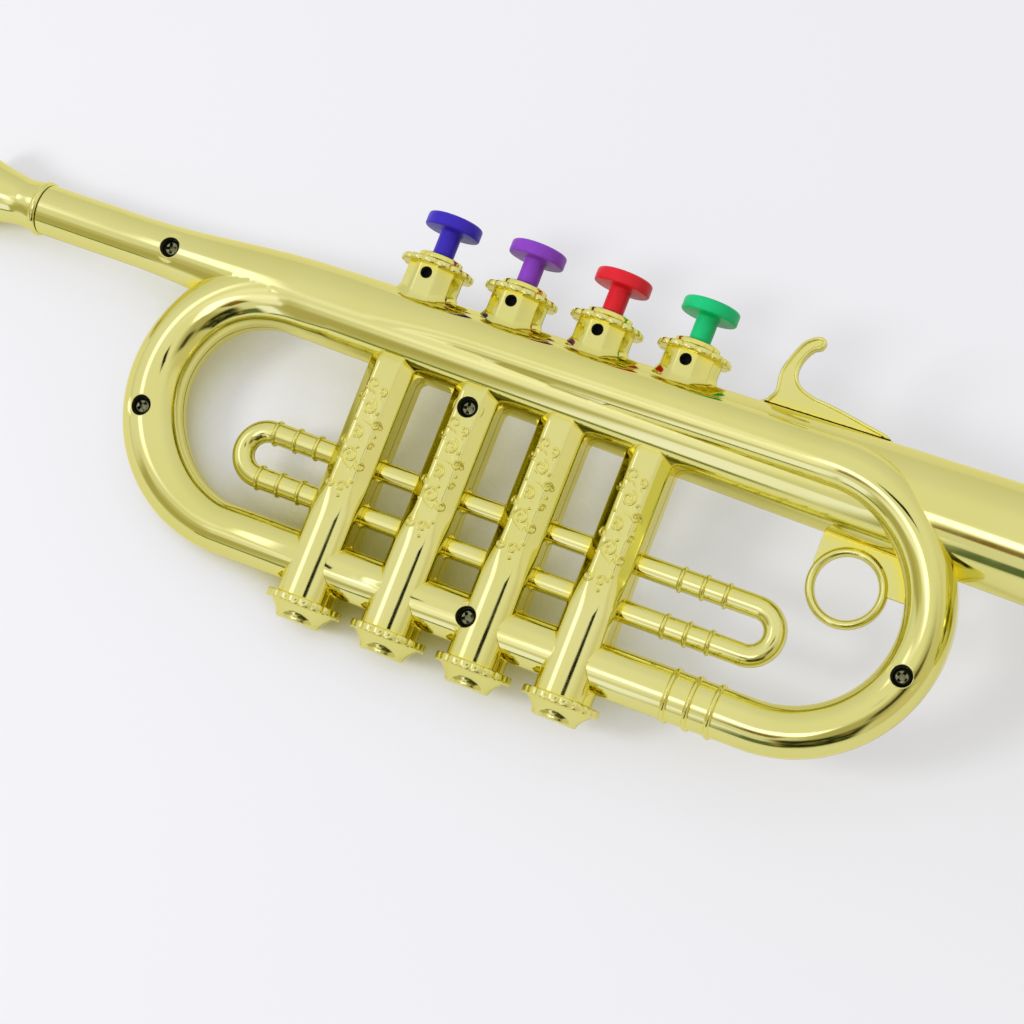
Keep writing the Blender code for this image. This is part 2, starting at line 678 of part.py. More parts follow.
def build_trumpet_body():
    """Both shells in one, before the mid-plane parts them."""
    places = valve_places()
    body = loop("trumpet_body")
    joined = []
    for index, x in enumerate(places):
        joined.append(casing(f"casing_{index}", x))
        joined += bottom_cap(f"cap_{index}", x)
    for index, x in enumerate(places[:-1]):
        for drop in (UPPER_ROW_DROP, LOWER_ROW_DROP):
            end = x + VALVE_PITCH
            name = f"cross_tube_{index}"
            joined.append(rod_x(name, x, end, CROSS_TUBE_RADIUS, SMALL_TUBE_SIDES, -drop))
    joined.append(slide("left_slide", 0.0, -1, SLIDE_LEFT_REACH, SLIDE_FIRST_BEAD_LEFT))
    joined.append(slide("right_slide", LAST_VALVE_X, 1, SLIDE_RIGHT_REACH, SLIDE_FIRST_BEAD_RIGHT))
    combine(body, "UNION", joined)

    hollows = [loop_hollow("loop_hollow")]
    hollows += [casing_hollow(f"casing_hollow_{index}", x) for index, x in enumerate(places)]
    combine(body, "DIFFERENCE", hollows)

    joined = [main_tube("main_tube", MAIN_START_X, BELL_JOINT_X, 0.0)]
    joined += [finger_hook("hook"), ring_web("web")]
    for index, x in enumerate(places):
        joined += turret_outside(f"turret_{index}", x)
    combine(body, "UNION", joined)

    ring_hole = rod_z(
        "ring_hole",
        -WEB_HALF_THICKNESS - OVERRUN,
        WEB_HALF_THICKNESS + OVERRUN,
        RING_RADIUS,
        RING_SIDES,
        LAST_VALVE_X + RING_REACH,
        -RING_DROP,
    )
    wind = main_tube("wind_bore", MAIN_START_X - OVERRUN, BULKHEAD_X, WALL)
    bell_bore = main_tube("bell_bore", BULKHEAD_X + WALL, BELL_JOINT_X + OVERRUN, WALL)
    combine(body, "DIFFERENCE", [wind, bell_bore, ring_hole])

    joined = [finger_ring("ring")]
    joined += [cup(f"cup_{index}", x) for index, x in enumerate(places)]
    for index, (x, y, surface) in enumerate(screw_places()):
        depth = surface - WALL / 2
        joined.append(rod_z(f"post_{index}", -depth, depth, SCREW_POST_RADIUS, CHAMBER_SIDES, x, y))
    combine(body, "UNION", joined)

    cuts = []
    for index, x in enumerate(places):
        cuts += chamber_cuts(f"chamber_{index}", x)
    for index, (x, y, surface) in enumerate(screw_places()):
        well = surface - SCREW_WELL_DEPTH
        above = surface + OVERRUN
        below = well - SCREW_LENGTH - SEAT_GAP
        cuts.append(rod_z(f"well_{index}", well, above, SCREW_WELL_RADIUS, CHAMBER_SIDES, x, y))
        cuts.append(rod_z(f"hole_{index}", below, well + SEAT_GAP, SCREW_HOLE_RADIUS, HOLE_SIDES, x, y))
    return combine(body, "DIFFERENCE", cuts)


def half_space(name, side):
    """A block that takes away everything on one side of the seam."""
    far = BELL_JOINT_X + LEADPIPE_REACH
    near = SEAM_GAP / 2
    low, high = (-far, near) if side > 0 else (-near, far)
    ring = [(-far, -far), (far, -far), (far, far), (-far, far)]
    return loft(name, [[Vector((x, y, z)) for x, y in ring] for z in (low, high)])


def build_shells():
    front = build_trumpet_body()
    front.name = "front_shell"
    back = bpy.data.objects.new("back_shell", front.data.copy())
    bpy.context.scene.collection.objects.link(back)
    combine(front, "DIFFERENCE", [half_space("behind", 1)])
    combine(back, "DIFFERENCE", [half_space("before", -1)])
    return [front, back]


# Mouthpiece and bell


def build_mouthpiece():
    """Collar, waist and flared cup, with a shank that plugs the leadpipe."""
    start = MAIN_START_X - SEAT_GAP
    collar_end = start - MOUTHPIECE_COLLAR_LENGTH
    waist = start - MOUTHPIECE_WAIST_REACH
    cup_end = start - MOUTHPIECE_CUP_REACH
    rim = start - MOUTHPIECE_LENGTH
    shank = fitting_radius(LEADPIPE_RADIUS - WALL, MAIN_SIDES)
    eased = MOUTHPIECE_COLLAR_RADIUS - MOUTHPIECE_COLLAR_ROUNDING
    profile = [
        (start + SHANK_LENGTH, shank),
        (start, shank),
        (start, eased),
        (start - MOUTHPIECE_COLLAR_ROUNDING, MOUTHPIECE_COLLAR_RADIUS),
        (collar_end + MOUTHPIECE_COLLAR_ROUNDING, MOUTHPIECE_COLLAR_RADIUS),
        (collar_end, eased),
        (waist, MOUTHPIECE_WAIST_RADIUS),
    ]
    for share in MOUTHPIECE_FLARE_SHARES:
        grown = share**MOUTHPIECE_FLARE_POWER
        reach = blend(MOUTHPIECE_WAIST_RADIUS, MOUTHPIECE_CUP_RADIUS, grown)
        profile.append((blend(waist, cup_end, share), reach))
    for along, inward in MOUTHPIECE_RIM_SHARES:
        reach = MOUTHPIECE_RIM_RADIUS - MOUTHPIECE_RIM_BEAD * inward
        profile.append((rim + MOUTHPIECE_RIM_BEAD * along, reach))
    deep_share, narrow_share = MOUTHPIECE_CUP_WAIST_SHARES
    profile += [
        (rim + MOUTHPIECE_CUP_DEPTH * deep_share, MOUTHPIECE_RIM_RADIUS * narrow_share),
        (rim + MOUTHPIECE_CUP_DEPTH, MOUTHPIECE_BORE_RADIUS),
        (start + SHANK_LENGTH, MOUTHPIECE_BORE_RADIUS),
    ]
    rings = [ring_x(x, radius, MAIN_SIDES) for x, radius in profile]
    return loft("mouthpiece", rings, closed=True)


def bell_radius(share):
    throat = BELL_JOINT_RADIUS * (1 + BELL_THROAT_GROWTH_SHARE * share)
    full = BELL_JOINT_RADIUS * (1 + BELL_THROAT_GROWTH_SHARE)
    return throat + (BELL_RIM_RADIUS - full) * share**BELL_FLARE_POWER


def build_bell():
    """A flare with a beaded rim, whose spigot plugs the main tube."""
    start = BELL_JOINT_X + SEAT_GAP
    spigot = fitting_radius(main_radius(BELL_JOINT_X - BELL_SPIGOT_LENGTH) - WALL, MAIN_SIDES)
    end = start + BELL_LENGTH
    shares = [1 - (1 - step / BELL_STEPS) ** BELL_STATION_POWER for step in range(BELL_STEPS + 1)]
    profile = [(start - BELL_SPIGOT_LENGTH, spigot), (start, spigot)]
    profile += [(start + BELL_LENGTH * share, bell_radius(share)) for share in shares]
    for along, out in BELL_RIM_OUTER_SHARES:
        profile.append((end + BELL_RIM_BEAD * along, BELL_RIM_RADIUS + BELL_RIM_BEAD * out))
    profile.append((end + BELL_RIM_BEAD * 2, BELL_RIM_RADIUS - BELL_RIM_BEAD / 2))
    profile.append((end + BELL_RIM_BEAD * BELL_RIM_INNER_DEPTH_SHARE, BELL_RIM_RADIUS - BELL_WALL))
    for share in reversed(shares[1:-1]):
        lean = BELL_WALL * BELL_WALL_LEAN_SHARE * share**3
        profile.append((start + BELL_LENGTH * share + lean, bell_radius(share) - BELL_WALL))
    profile.append((start - BELL_SPIGOT_LENGTH, spigot - BELL_WALL))
    rings = [ring_x(x, radius, BELL_SIDES) for x, radius in profile]
    return loft("bell", rings, closed=True)


# One valve's own pieces, with the origin on the valve's axis


def button_shape():
    stem_low = TURRET_ROOF_RISE
    top = HEAD_RISE + HEAD_THICKNESS
    profile = [
        (stem_low - SPIGOT_LENGTH, SPIGOT_RADIUS),
        (stem_low, SPIGOT_RADIUS),
        (stem_low, STEM_RADIUS),
        (HEAD_RISE, STEM_RADIUS),
        (HEAD_RISE, HEAD_RADIUS),
        (top - HEAD_ROUNDING, HEAD_RADIUS),
        (top, HEAD_RADIUS - HEAD_ROUNDING),
    ]
    return turned_y("button_shape", profile, BUTTON_SIDES)


def piston_top():
    return TURRET_ROOF_RISE - SEAT_GAP


def piston_shape():
    """A short piston with air notches down its side and a bore for the button's spigot."""
    top = piston_top()
    radius = CHAMBER_RADIUS - PISTON_CLEARANCE
    piston = rod_y("piston_shape", top - PISTON_LENGTH, top, radius, CHAMBER_SIDES)
    bore_low = TURRET_ROOF_RISE - SPIGOT_LENGTH - SEAT_GAP
    bore = SPIGOT_RADIUS + SEAT_GAP
    cuts = [rod_y("piston_bore", bore_low, top + OVERRUN, bore, HOLE_SIDES)]
    for angle in around(PISTON_NOTCHES, 0.5):
        x = radius * math.sin(angle)
        z = radius * math.cos(angle)
        low = top - PISTON_LENGTH - OVERRUN
        cuts.append(rod_y("notch", low, top + OVERRUN, PISTON_NOTCH_RADIUS, HOLE_SIDES, x, z))
    return combine(piston, "DIFFERENCE", cuts)


def slab(name, width, length, low, high):
    """A flat bar across the valve's axis."""
    across = width / 2
    along = length / 2
    corners = [(-across, -along), (across, -along), (across, along), (-across, along)]
    return loft(name, [[Vector((x, y, z)) for x, z in corners] for y in (low, high)])


def reed_block_top():
    return -CHAMBER_FLOOR_DROP + SEAT_GAP + REED_BLOCK_HEIGHT


def reed_block_shape():
    low = -CHAMBER_FLOOR_DROP + SEAT_GAP
    block = rod_y("reed_block_shape", low, reed_block_top(), CHAMBER_RADIUS - SEAT_GAP, CHAMBER_SIDES)
    slot_top = reed_block_top() + OVERRUN
    slot = slab("reed_slot", REED_SLOT_WIDTH, REED_SLOT_LENGTH, low - OVERRUN, slot_top)
    return combine(block, "DIFFERENCE", [slot])


def reed_shape():
    """A brass tongue over the slot, held at one end of the block."""
    low = reed_block_top() + SEAT_GAP
    return slab("reed_shape", REED_WIDTH, REED_LENGTH, low, low + REED_THICKNESS)


def spring_shape():
    """A wire coil from the reed block up to the piston."""
    low = reed_block_top() + SEAT_GAP + SPRING_WIRE_RADIUS
    high = piston_top() - PISTON_LENGTH - SEAT_GAP - SPRING_WIRE_RADIUS
    radius = CHAMBER_RADIUS - SPRING_SIDE_CLEARANCE - SPRING_WIRE_RADIUS
    count = SPRING_TURNS * COIL_POINTS_PER_TURN
    rings = []
    for step in range(count + 1):
        share = step / count
        angle = math.tau * SPRING_TURNS * share
        outward = Vector((math.sin(angle), 0.0, math.cos(angle)))
        middle = outward * radius + Vector((0.0, blend(low, high, share), 0.0))
        ring = []
        for turn in around(WIRE_SIDES):
            spoke = outward * math.cos(turn) + Vector((0.0, math.sin(turn), 0.0))
            ring.append(middle + spoke * SPRING_WIRE_RADIUS)
        rings.append(ring)
    return loft("spring_shape", rings)


# Assembly


def finish(item, material, parent):
    item.data.materials.clear()
    item.data.materials.append(None)
    item.material_slots[0].link = "OBJECT"
    item.material_slots[0].material = material
    item.data.shade_smooth()
    item.data.set_sharp_from_angle(angle=SMOOTH_ANGLE)
    item.parent = parent


def repeat(name, shape, places, materials, parent):
    """A numbered copy of the shape at each place."""
    for index, place in enumerate(places):
        item = bpy.data.objects.new(f"{name}_{index + 1}", shape.data)
        bpy.context.scene.collection.objects.link(item)
        finish(item, materials[index % len(materials)], parent)
        item.location = place
    bpy.data.objects.remove(shape, do_unlink=True)


def resting_turn():
    """The turn that brings the two rims and the first bottom cap down to one level."""
    rim_x = BELL_JOINT_X + SEAT_GAP + BELL_LENGTH + BELL_RIM_BEAD
    rim_radius = BELL_RIM_RADIUS + BELL_RIM_BEAD
    mouth_x = MAIN_START_X - SEAT_GAP - MOUTHPIECE_LENGTH + MOUTHPIECE_RIM_BEAD
    pitch = math.atan2(rim_radius - MOUTHPIECE_RIM_RADIUS, rim_x - mouth_x)
    down_x = -math.sin(pitch)
    depth = rim_x * down_x + rim_radius * math.cos(pitch)
    reach = math.hypot(CAP_FLANGE_DROP, CAP_FLANGE_RADIUS)
    tip = math.asin(depth / reach) - math.atan2(CAP_FLANGE_RADIUS, CAP_FLANGE_DROP)
    down_y = -math.sin(tip)
    up = Vector((-down_x, -down_y, math.sqrt(1 - down_x**2 - down_y**2)))
    ahead = (Vector((1, 0, 0)) - up * up.x).normalized()
    return Matrix((ahead, up.cross(ahead), up)).to_4x4()


def lay_down(root):
    """Turns the instrument onto the ground and centres it there."""
    root.matrix_world = resting_turn()
    bpy.context.view_layer.update()
    corners = []
    for item in bpy.data.objects:
        if item.type == "MESH":
            corners += [item.matrix_world @ vertex.co for vertex in item.data.vertices]
    low = [min(point[axis] for point in corners) for axis in range(3)]
    high = [max(point[axis] for point in corners) for axis in range(3)]
    root.location = (-(low[0] + high[0]) / 2, -(low[1] + high[1]) / 2, -low[2])


def main():
    clear_scene()
    gold = make_material("gold_plating", (0.76, 0.66, 0.16), 0.12, 1.0)
    colours = [
        make_material("blue_plastic", (0.042, 0.018, 0.46), 0.45, 0.0),
        make_material("purple_plastic", (0.25, 0.045, 0.50), 0.45, 0.0),
        make_material("red_plastic", (0.70, 0.012, 0.022), 0.45, 0.0),
        make_material("green_plastic", (0.008, 0.42, 0.14), 0.45, 0.0),
    ]
    black = make_material("black_plastic", (0.03, 0.03, 0.03), 0.5, 0.0)
    steel = make_material("steel", (0.55, 0.55, 0.56), 0.3, 1.0)
    brass = make_material("brass", (0.80, 0.60, 0.25), 0.3, 1.0)

    root = bpy.data.objects.new("resting_attitude", None)
    bpy.context.scene.collection.objects.link(root)
    for item in [*build_shells(), build_mouthpiece(), build_bell()]:
        finish(item, gold, root)
    seats = [(x, y, surface - SCREW_WELL_DEPTH + SEAT_GAP) for x, y, surface in screw_places()]
    repeat("shell_screw", screw_shape(), seats, [steel], root)
    axes = [(x, 0.0, 0.0) for x in valve_places()]
    repeat("button", button_shape(), axes, colours, root)
    repeat("piston", piston_shape(), axes, [black], root)
    repeat("return_spring", spring_shape(), axes, [steel], root)
    repeat("reed_block", reed_block_shape(), axes, [black], root)
    repeat("reed", reed_shape(), axes, [brass], root)
    lay_down(root)


main()
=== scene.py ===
"""Looks of the toy trumpet: fine plated shells, turned mouthpiece and bell, screws and buttons.

The fine pieces are modelled in the instrument's own axes, as the CAD is: X along the main tube
towards the bell, Y up the valves towards the buttons, Z out of the face with the screws, with the
origin on the main tube's axis at the first valve. Lengths are in metres.
"""

import json
import math

import bmesh
import bpy
from mathutils import Matrix, Vector
from mathutils.bvhtree import BVHTree


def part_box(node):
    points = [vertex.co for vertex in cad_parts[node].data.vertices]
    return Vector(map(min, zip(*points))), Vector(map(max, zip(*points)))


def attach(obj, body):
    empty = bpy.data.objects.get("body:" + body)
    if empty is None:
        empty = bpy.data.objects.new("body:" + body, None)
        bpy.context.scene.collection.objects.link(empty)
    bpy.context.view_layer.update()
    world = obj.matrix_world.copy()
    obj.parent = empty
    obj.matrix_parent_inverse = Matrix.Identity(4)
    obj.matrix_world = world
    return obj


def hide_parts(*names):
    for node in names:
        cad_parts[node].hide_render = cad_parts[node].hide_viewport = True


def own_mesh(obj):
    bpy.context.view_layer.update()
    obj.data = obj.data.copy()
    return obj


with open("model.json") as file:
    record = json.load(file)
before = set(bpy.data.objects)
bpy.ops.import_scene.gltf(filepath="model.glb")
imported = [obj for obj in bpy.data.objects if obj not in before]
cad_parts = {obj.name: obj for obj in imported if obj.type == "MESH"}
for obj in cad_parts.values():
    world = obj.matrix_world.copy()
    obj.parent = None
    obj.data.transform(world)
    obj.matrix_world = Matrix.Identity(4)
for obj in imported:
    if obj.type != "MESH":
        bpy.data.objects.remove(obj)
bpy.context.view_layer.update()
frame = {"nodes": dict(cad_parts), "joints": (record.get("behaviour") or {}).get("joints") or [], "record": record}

# Moulding
WALL = 0.0018
SEAM_GAP = 0.0003
SEAT_GAP = 0.0003
OVERLAP = 0.001
OVERRUN = 0.002
EDGE_EASE = 0.0005

# Row of valves and main tube
VALVE_COUNT = 4
VALVE_PITCH = 0.026
LAST_VALVE_X = (VALVE_COUNT - 1) * VALVE_PITCH
VALVE_PLACES = [index * VALVE_PITCH for index in range(VALVE_COUNT)]
MAIN_START_X = -0.1191
LEADPIPE_END_X = MAIN_START_X + 0.0311
LEADPIPE_RADIUS = 0.0074
SWELL_LENGTH = 0.060
BODY_RADIUS = 0.0113
BODY_START_X = LEADPIPE_END_X + SWELL_LENGTH
BELL_JOINT_X = LAST_VALVE_X + 0.118
BELL_JOINT_RADIUS = 0.0155
BULKHEAD_X = LAST_VALVE_X + 0.014

# Loop
LOOP_LEFT_X = -0.0305
LOOP_RIGHT_X = LAST_VALVE_X + 0.0495
LOOP_TOP_RISE = 0.0022
LOOP_BEND_RADIUS = 0.0358
LOOP_TUBE_LEFT = 0.0078
LOOP_TUBE_RIGHT = 0.0069
LOOP_BELT = 0.0015
LOOP_LIFT_LEFT = 0.0031
LOOP_LIFT_RIGHT = 0.0112
LOOP_CENTRE_Y = LOOP_TOP_RISE - LOOP_BEND_RADIUS
LOOP_BOTTOM_Y = LOOP_TOP_RISE - 2 * LOOP_BEND_RADIUS
LOOP_SETTLE_SHARE = 0.67
LOOP_LEAVE_SHARE = 0.5
LOOP_WIDEN_PER_BEND = 10
LOOP_WIDEN = (
    -0.0006, 0.0003, 0.0012, 0.0017, 0.0016, 0.0013, 0.0012, 0.0015,
    0.0027, 0.0042, 0.0050, 0.0045, 0.0032, 0.0014, 0.0002, 0.0,
)
LOOP_FIRST_BEAD = 0.0278
LOOP_BEAD_PITCH = 0.0063
LOOP_BEAD_HEIGHT = 0.0007
BEAD_COUNT = 3
BEAD_HALF_LENGTH = 0.0007

# Casings and bottom caps
CASING_HALF_WIDTH = 0.0070
CASING_FLANK_DEPTH = 0.0055
CASING_DRAFT = 0.0001
CASING_FRONT_DEPTH = 0.0093
CASING_NOSE_DEPTH = 0.0100
CASING_FLAT_SHARE = 0.46
CASING_TOP_DROP = 0.0060
CASING_SHOULDER_DROP = 0.0105
CASING_MORPH_START = 0.0440
CASING_MORPH_END = 0.0575
CASING_HOLLOW_TOP_DROP = 0.0150
CASING_FLOOR_THICKNESS = 0.0030
CASING_TOP_SHARE = 0.78
CASING_CORNER = 0.0007
CAP_FLANGE_DROP = 0.0815
CAP_FLANGE_THICKNESS = 0.0024
CAP_FLANGE_RADIUS = 0.0110
CAP_FLANGE_EASE = 0.0004
CAP_LOBES = 18
CAP_LOBE_HEIGHT = 0.00045
CAP_COLLAR_RADIUS = 0.0083
CAP_COLLAR_LENGTH = 0.0050
CAP_NECK_RADIUS = 0.0065
CAP_NECK_LENGTH = 0.0044
CAP_NECK_FLARE = 0.0010

# Cross tubes and slides
UPPER_ROW_DROP = 0.0392
LOWER_ROW_DROP = 0.0526
CROSS_TUBE_RADIUS = 0.0030
WINDOW_FILLET = 0.0013
WINDOW_TOP_FILLET = 0.0026
SLIDE_TUBE_RADIUS = 0.0032
SLIDE_BEAD_HEIGHT = 0.0006
SLIDE_BEAD_HALF_LENGTH = 0.00055
SLIDE_LEFT_REACH = 0.0270
SLIDE_RIGHT_REACH = 0.0413
SLIDE_FIRST_BEAD_LEFT = 0.0130
SLIDE_FIRST_BEAD_RIGHT = 0.0193
SLIDE_BEAD_PITCH = 0.0065

# Finger ring, its web, and the finger hook
RING_X = LAST_VALVE_X + 0.0613
RING_DROP = 0.0266
RING_RADIUS = 0.0098
RING_BAR_RADIUS = 0.0013
RING_BAR_DEPTH = 0.0019
WEB_HALF_THICKNESS = 0.0010
WEB_LEFT_X = LAST_VALVE_X + 0.0506
WEB_LEFT_DROP = 0.0225
WEB_RIGHT_DROP = 0.0254
HOOK_X = LAST_VALVE_X + 0.0218
HOOK_LENGTH = 0.0380
HOOK_HEIGHT = 0.0215
HOOK_HALF_THICKNESS = 0.0016
HOOK_RISE = 0.0140
HOOK_ROOT = 0.0030
HOOK_RIM_WIDTH = 0.0005
HOOK_RIM_HEIGHT = 0.0004
HOOK_SLIT_WIDTH = 0.0005
HOOK_SLIT_FLOOR = 0.0005
HOOK_SLIT_SINK = 0.00015
HOOK_SLIT_SPAN = (0.03, 0.97)
HOOK_OUTLINE = (
    (0.045, 0.05), (0.075, 0.18), (0.060, 0.42), (0.095, 0.67), (0.150, 0.88), (0.235, 0.99),
    (0.295, 0.97), (0.290, 0.86), (0.235, 0.79), (0.190, 0.63), (0.185, 0.46), (0.235, 0.33),
    (0.340, 0.25), (0.520, 0.21), (0.740, 0.14), (0.960, 0.05),
)

# Turrets and their chambers
TURRET_SIDES = 10
TURRET_RADIUS = 0.0085
TURRET_CORNER = 0.0004
TURRET_FLARE = 0.0012
TURRET_FLARE_HEIGHT = 0.0022
TURRET_BASE_RISE = 0.0124
TURRET_BASE_DEPTH = 0.0074
TURRET_FLANGE_RISE = 0.0200
TURRET_FLANGE_THICKNESS = 0.0018
TURRET_FLANGE_RADIUS = 0.01075
TURRET_LOBES = 14
TURRET_LOBE_HEIGHT = 0.0008
TURRET_ROOF_RISE = 0.0207
TURRET_TOP_RISE = 0.0232
BOSS_RADIUS = 0.0065
BOSS_GROOVE_DEPTH = 0.0010
BOSS_GROOVE_WIDTH = 0.0007
SOUND_HOLE_RADIUS = 0.0017
SOUND_HOLE_RISE = 0.0166
CHAMBER_RADIUS = 0.0062
CHAMBER_FLOOR_DROP = 0.0010
CUP_WALL = 0.0015
WIND_HOLE_RADIUS = 0.0042

# Buttons, pistons and springs
STEM_RADIUS = 0.0031
STEM_CLEARANCE = 0.0002
STEM_FILLET = 0.0008
HEAD_RADIUS = 0.0081
HEAD_RISE = 0.03085
HEAD_THICKNESS = 0.0039
HEAD_ROUNDING = 0.0009
HEAD_LOW_ROUNDING = 0.0006
SPIGOT_RADIUS = 0.0019
SPIGOT_LENGTH = 0.0060
PISTON_LENGTH = 0.0079
REED_BLOCK_HEIGHT = 0.0045
SPRING_WIRE_RADIUS = 0.00028
SPRING_SIDE_CLEARANCE = 0.0007
SPRING_TURNS = 4
SPRING_CLOSED_TURNS = 0.75
SPRING_CLOSED_PITCH = 2.1 * SPRING_WIRE_RADIUS

# Mouthpiece
MOUTH_COLLAR_RADIUS = 0.0081
MOUTH_COLLAR_LENGTH = 0.0020
MOUTH_COLLAR_ROUNDING = 0.0006
MOUTH_WAIST_RADIUS = 0.0070
MOUTH_WAIST_REACH = 0.0075
MOUTH_CUP_RADIUS = 0.0100
MOUTH_CUP_REACH = 0.0225
MOUTH_FLARE_POWER = 1.3
MOUTH_RIM_RADIUS = 0.0125
MOUTH_LENGTH = 0.0304
MOUTH_RIM_BEAD = 0.0013
MOUTH_BORE_RADIUS = 0.0030
MOUTH_CUP_DEPTH = 0.0110
MOUTH_CUP_POWER = 1.6
SHANK_LENGTH = 0.0100
# The rim's bead: along the mouthpiece and inwards, in its own size
MOUTH_RIM_PROFILE = (
    (3.0, 1.0), (2.5, 0.35), (2.0, 0.0), (0.9, 0.0), (0.4, 0.15), (0.1, 0.5),
    (0.0, 1.0), (0.0, 1.6), (0.1, 2.2), (0.4, 2.6), (1.0, 3.0),
)

# Bell
BELL_LENGTH = 0.0740
BELL_RIM_RADIUS = 0.0510
BELL_RIM_BEAD = 0.0013
BELL_WALL = 0.0016
BELL_THROAT_GROWTH_SHARE = 0.30
BELL_FLARE_POWER = 4.5
BELL_SPIGOT_LENGTH = 0.0100
CAD_MAIN_SIDES = 20

# Shell screws
SCREW_HEAD_RADIUS = 0.0025
SCREW_HEAD_HEIGHT = 0.0018
SCREW_CROWN_INSET = 0.58 * SCREW_HEAD_RADIUS
SCREW_CROWN_DROP = 0.65 * SCREW_HEAD_HEIGHT
SCREW_SHANK_RADIUS = 0.0011
SCREW_WELL_RADIUS = 0.0030
SCREW_WELL_DEPTH = 0.0034
SCREW_POST_RADIUS = 0.0044
SCREW_HOLE_RADIUS = 0.0014
SCREW_LENGTH = 0.0100
SCREW_CROSS_LENGTH = 0.0015
SCREW_CROSS_WIDTH = 0.00048
SCREW_CROSS_DEPTH = 0.0013
SCREW_CROSS_TOP_SHARES = (1.15, 1.0)
SCREW_CROSS_FLOOR_SHARES = (0.55, 0.8)
SCREW_TURNS = (0.3, 0.9, 0.15, 0.55, 1.2)
SCREW_LEADPIPE_X = -0.0751
SCREW_LEFT_BEND_DROP = 0.0120
SCREW_RIGHT_BEND_DROP = 0.0107
SCREW_CASING_DROP = 0.0155
SCREW_RUN_CLEARANCE = 0.0022

# Scrollwork on the casings, in millimetres across a casing and down it
SCROLL_SPREAD = 0.00100
SCROLL_LENGTHEN = 0.00108
SCROLL_DROP = 0.0160
SCROLL_DROP_UNDER_SCREW = 0.0188
SCROLL_STROKE = 0.31
SCROLL_END_SHARE = 0.12
CURL_EYE_SHARE = 0.20
# Curls: across, down, radius, first angle, turns, where the tail ends
SCROLL_CURLS = (
    (-1.6, 1.8, 1.9, 2.6, -1.2, (0.2, 5.0)),
    (1.7, 3.0, 1.25, 0.4, 1.15, (2.9, 5.6)),
    (-4.0, 5.2, 1.2, 1.8, 1.1, (-2.4, 6.8)),
    (-0.5, 7.8, 2.1, 1.2, -1.35, (1.6, 10.9)),
    (3.2, 12.0, 1.3, 4.2, 1.25, (-1.4, 11.3)),
    (-1.0, 15.0, 1.8, 0.2, -1.3, (1.4, 17.4)),
    (-4.2, 17.8, 1.1, 3.9, 1.1, (-2.5, 19.2)),
    (3.8, 17.4, 0.95, 5.6, 1.05, None),
    (-0.5, 21.2, 2.1, 5.6, -1.3, (1.9, 24.9)),
    (3.2, 23.0, 1.4, 2.2, 1.2, (0.6, 25.6)),
    (-3.4, 29.2, 1.45, 0.9, -1.2, (-2.4, 25.2)),
    (0.5, 29.6, 1.5, 4.6, 1.2, (2.2, 26.6)),
)
# Ticks: both ends and the width. Dots: across, down and size
SCROLL_TICKS = (
    ((2.0, 9.4), (3.0, 8.5), 0.36),
    ((0.2, 19.0), (1.2, 18.3), 0.36),
    ((0.3, 32.4), (1.1, 31.7), 0.42),
)
SCROLL_DOTS = (
    (-3.2, 3.0, 0.4), (4.0, 14.7, 0.35), (-3.6, 22.8, 0.42), (-3.0, 11.8, 0.35), (2.9, 27.6, 0.36),
)

# How finely the forms are divided
FINE_SIDES = 96
BELL_SIDES = 160
TUBE_SIDES = 40
PLAIN_SIDES = 24
WIRE_SIDES = 8
MAIN_STEPS = 48
ARCH_STEPS = 26
BEND_STEPS = 64
RUN_STEPS = 20
HOLLOW_STEPS = (24, 4, 10)
CASING_POINTS = 72
CASING_RINGS = 26
LOBE_STEPS = 12
EDGE_STEPS = 4
BELL_STEPS = 40
SPRING_STEPS_PER_TURN = 24
SMOOTH_ANGLE = math.radians(30)
INNER_DISTANCE = 0.0002

# Mouldings of the buttons, in two near tones
COLOURS = (
    ("blue", (0.031, 0.012, 0.36), (0.039, 0.017, 0.42)),
    ("purple", (0.20, 0.036, 0.40), (0.24, 0.048, 0.46)),
    ("red", (0.60, 0.006, 0.013), (0.67, 0.011, 0.020)),
    ("green", (0.002, 0.44, 0.13), (0.003, 0.51, 0.165)),
)

# The studio by height, as the mirror plating shows it
STUDIO_STOPS = (
    (0.0, (0.75, 0.75, 0.76)), (0.35, (0.79, 0.79, 0.84)), (0.70, (0.84, 0.84, 0.92)),
    (0.90, (0.92, 0.92, 1.00)), (1.0, (0.93, 0.93, 1.00)),
)
# Soft cards: turn, rise, half width, half height, soft edge, colour
STUDIO_CARDS = (
    (-22, 18, 24, 32, 12, (0.70, 0.65, 0.52)),
    (12, 22, 12, 20, 8, (0.88, 0.84, 0.80)),
    (-56, 46, 20, 17, 8, (0.50, 0.47, 0.33)),
    (-39, 47, 8, 6, 3, (0.07, 0.055, 0.04)),
    (-176, 28, 18, 18, 10, (0.90, 0.90, 1.0)),
    (-132, 18, 20, 13, 4, (0.50, 0.46, 0.28)),
    (-134, 32, 10, 6, 4, (0.62, 0.58, 0.42)),
    (-116, 39, 5, 5, 2.5, (1.05, 1.05, 1.4)),
    (-105.5, 16, 3.8, 11, 1.2, (1.10, 1.12, 1.8)),
    (-111, 1.5, 9, 3, 1, (0.20, 0.24, 0.05)),
    (-122, 49, 7, 6, 4, (1.2, 1.2, 1.6)),
    (-138, 60, 10, 5, 5, (1.1, 1.1, 1.4)),
    (-172, 49, 9, 6, 4, (1.7, 1.7, 2.5)),
    (-104, 59.5, 11, 5.2, 2.5, (2.2, 2.2, 3.2)),
    (-100, 45.5, 5.5, 5, 1.0, (0.24, 0.14, 0.04)),
    (-88, 10.5, 11.5, 8.5, 1.6, (0.12, 0.17, 0.11)),
)
DARK_CARD = (-68, 20, 19, 17, 4)
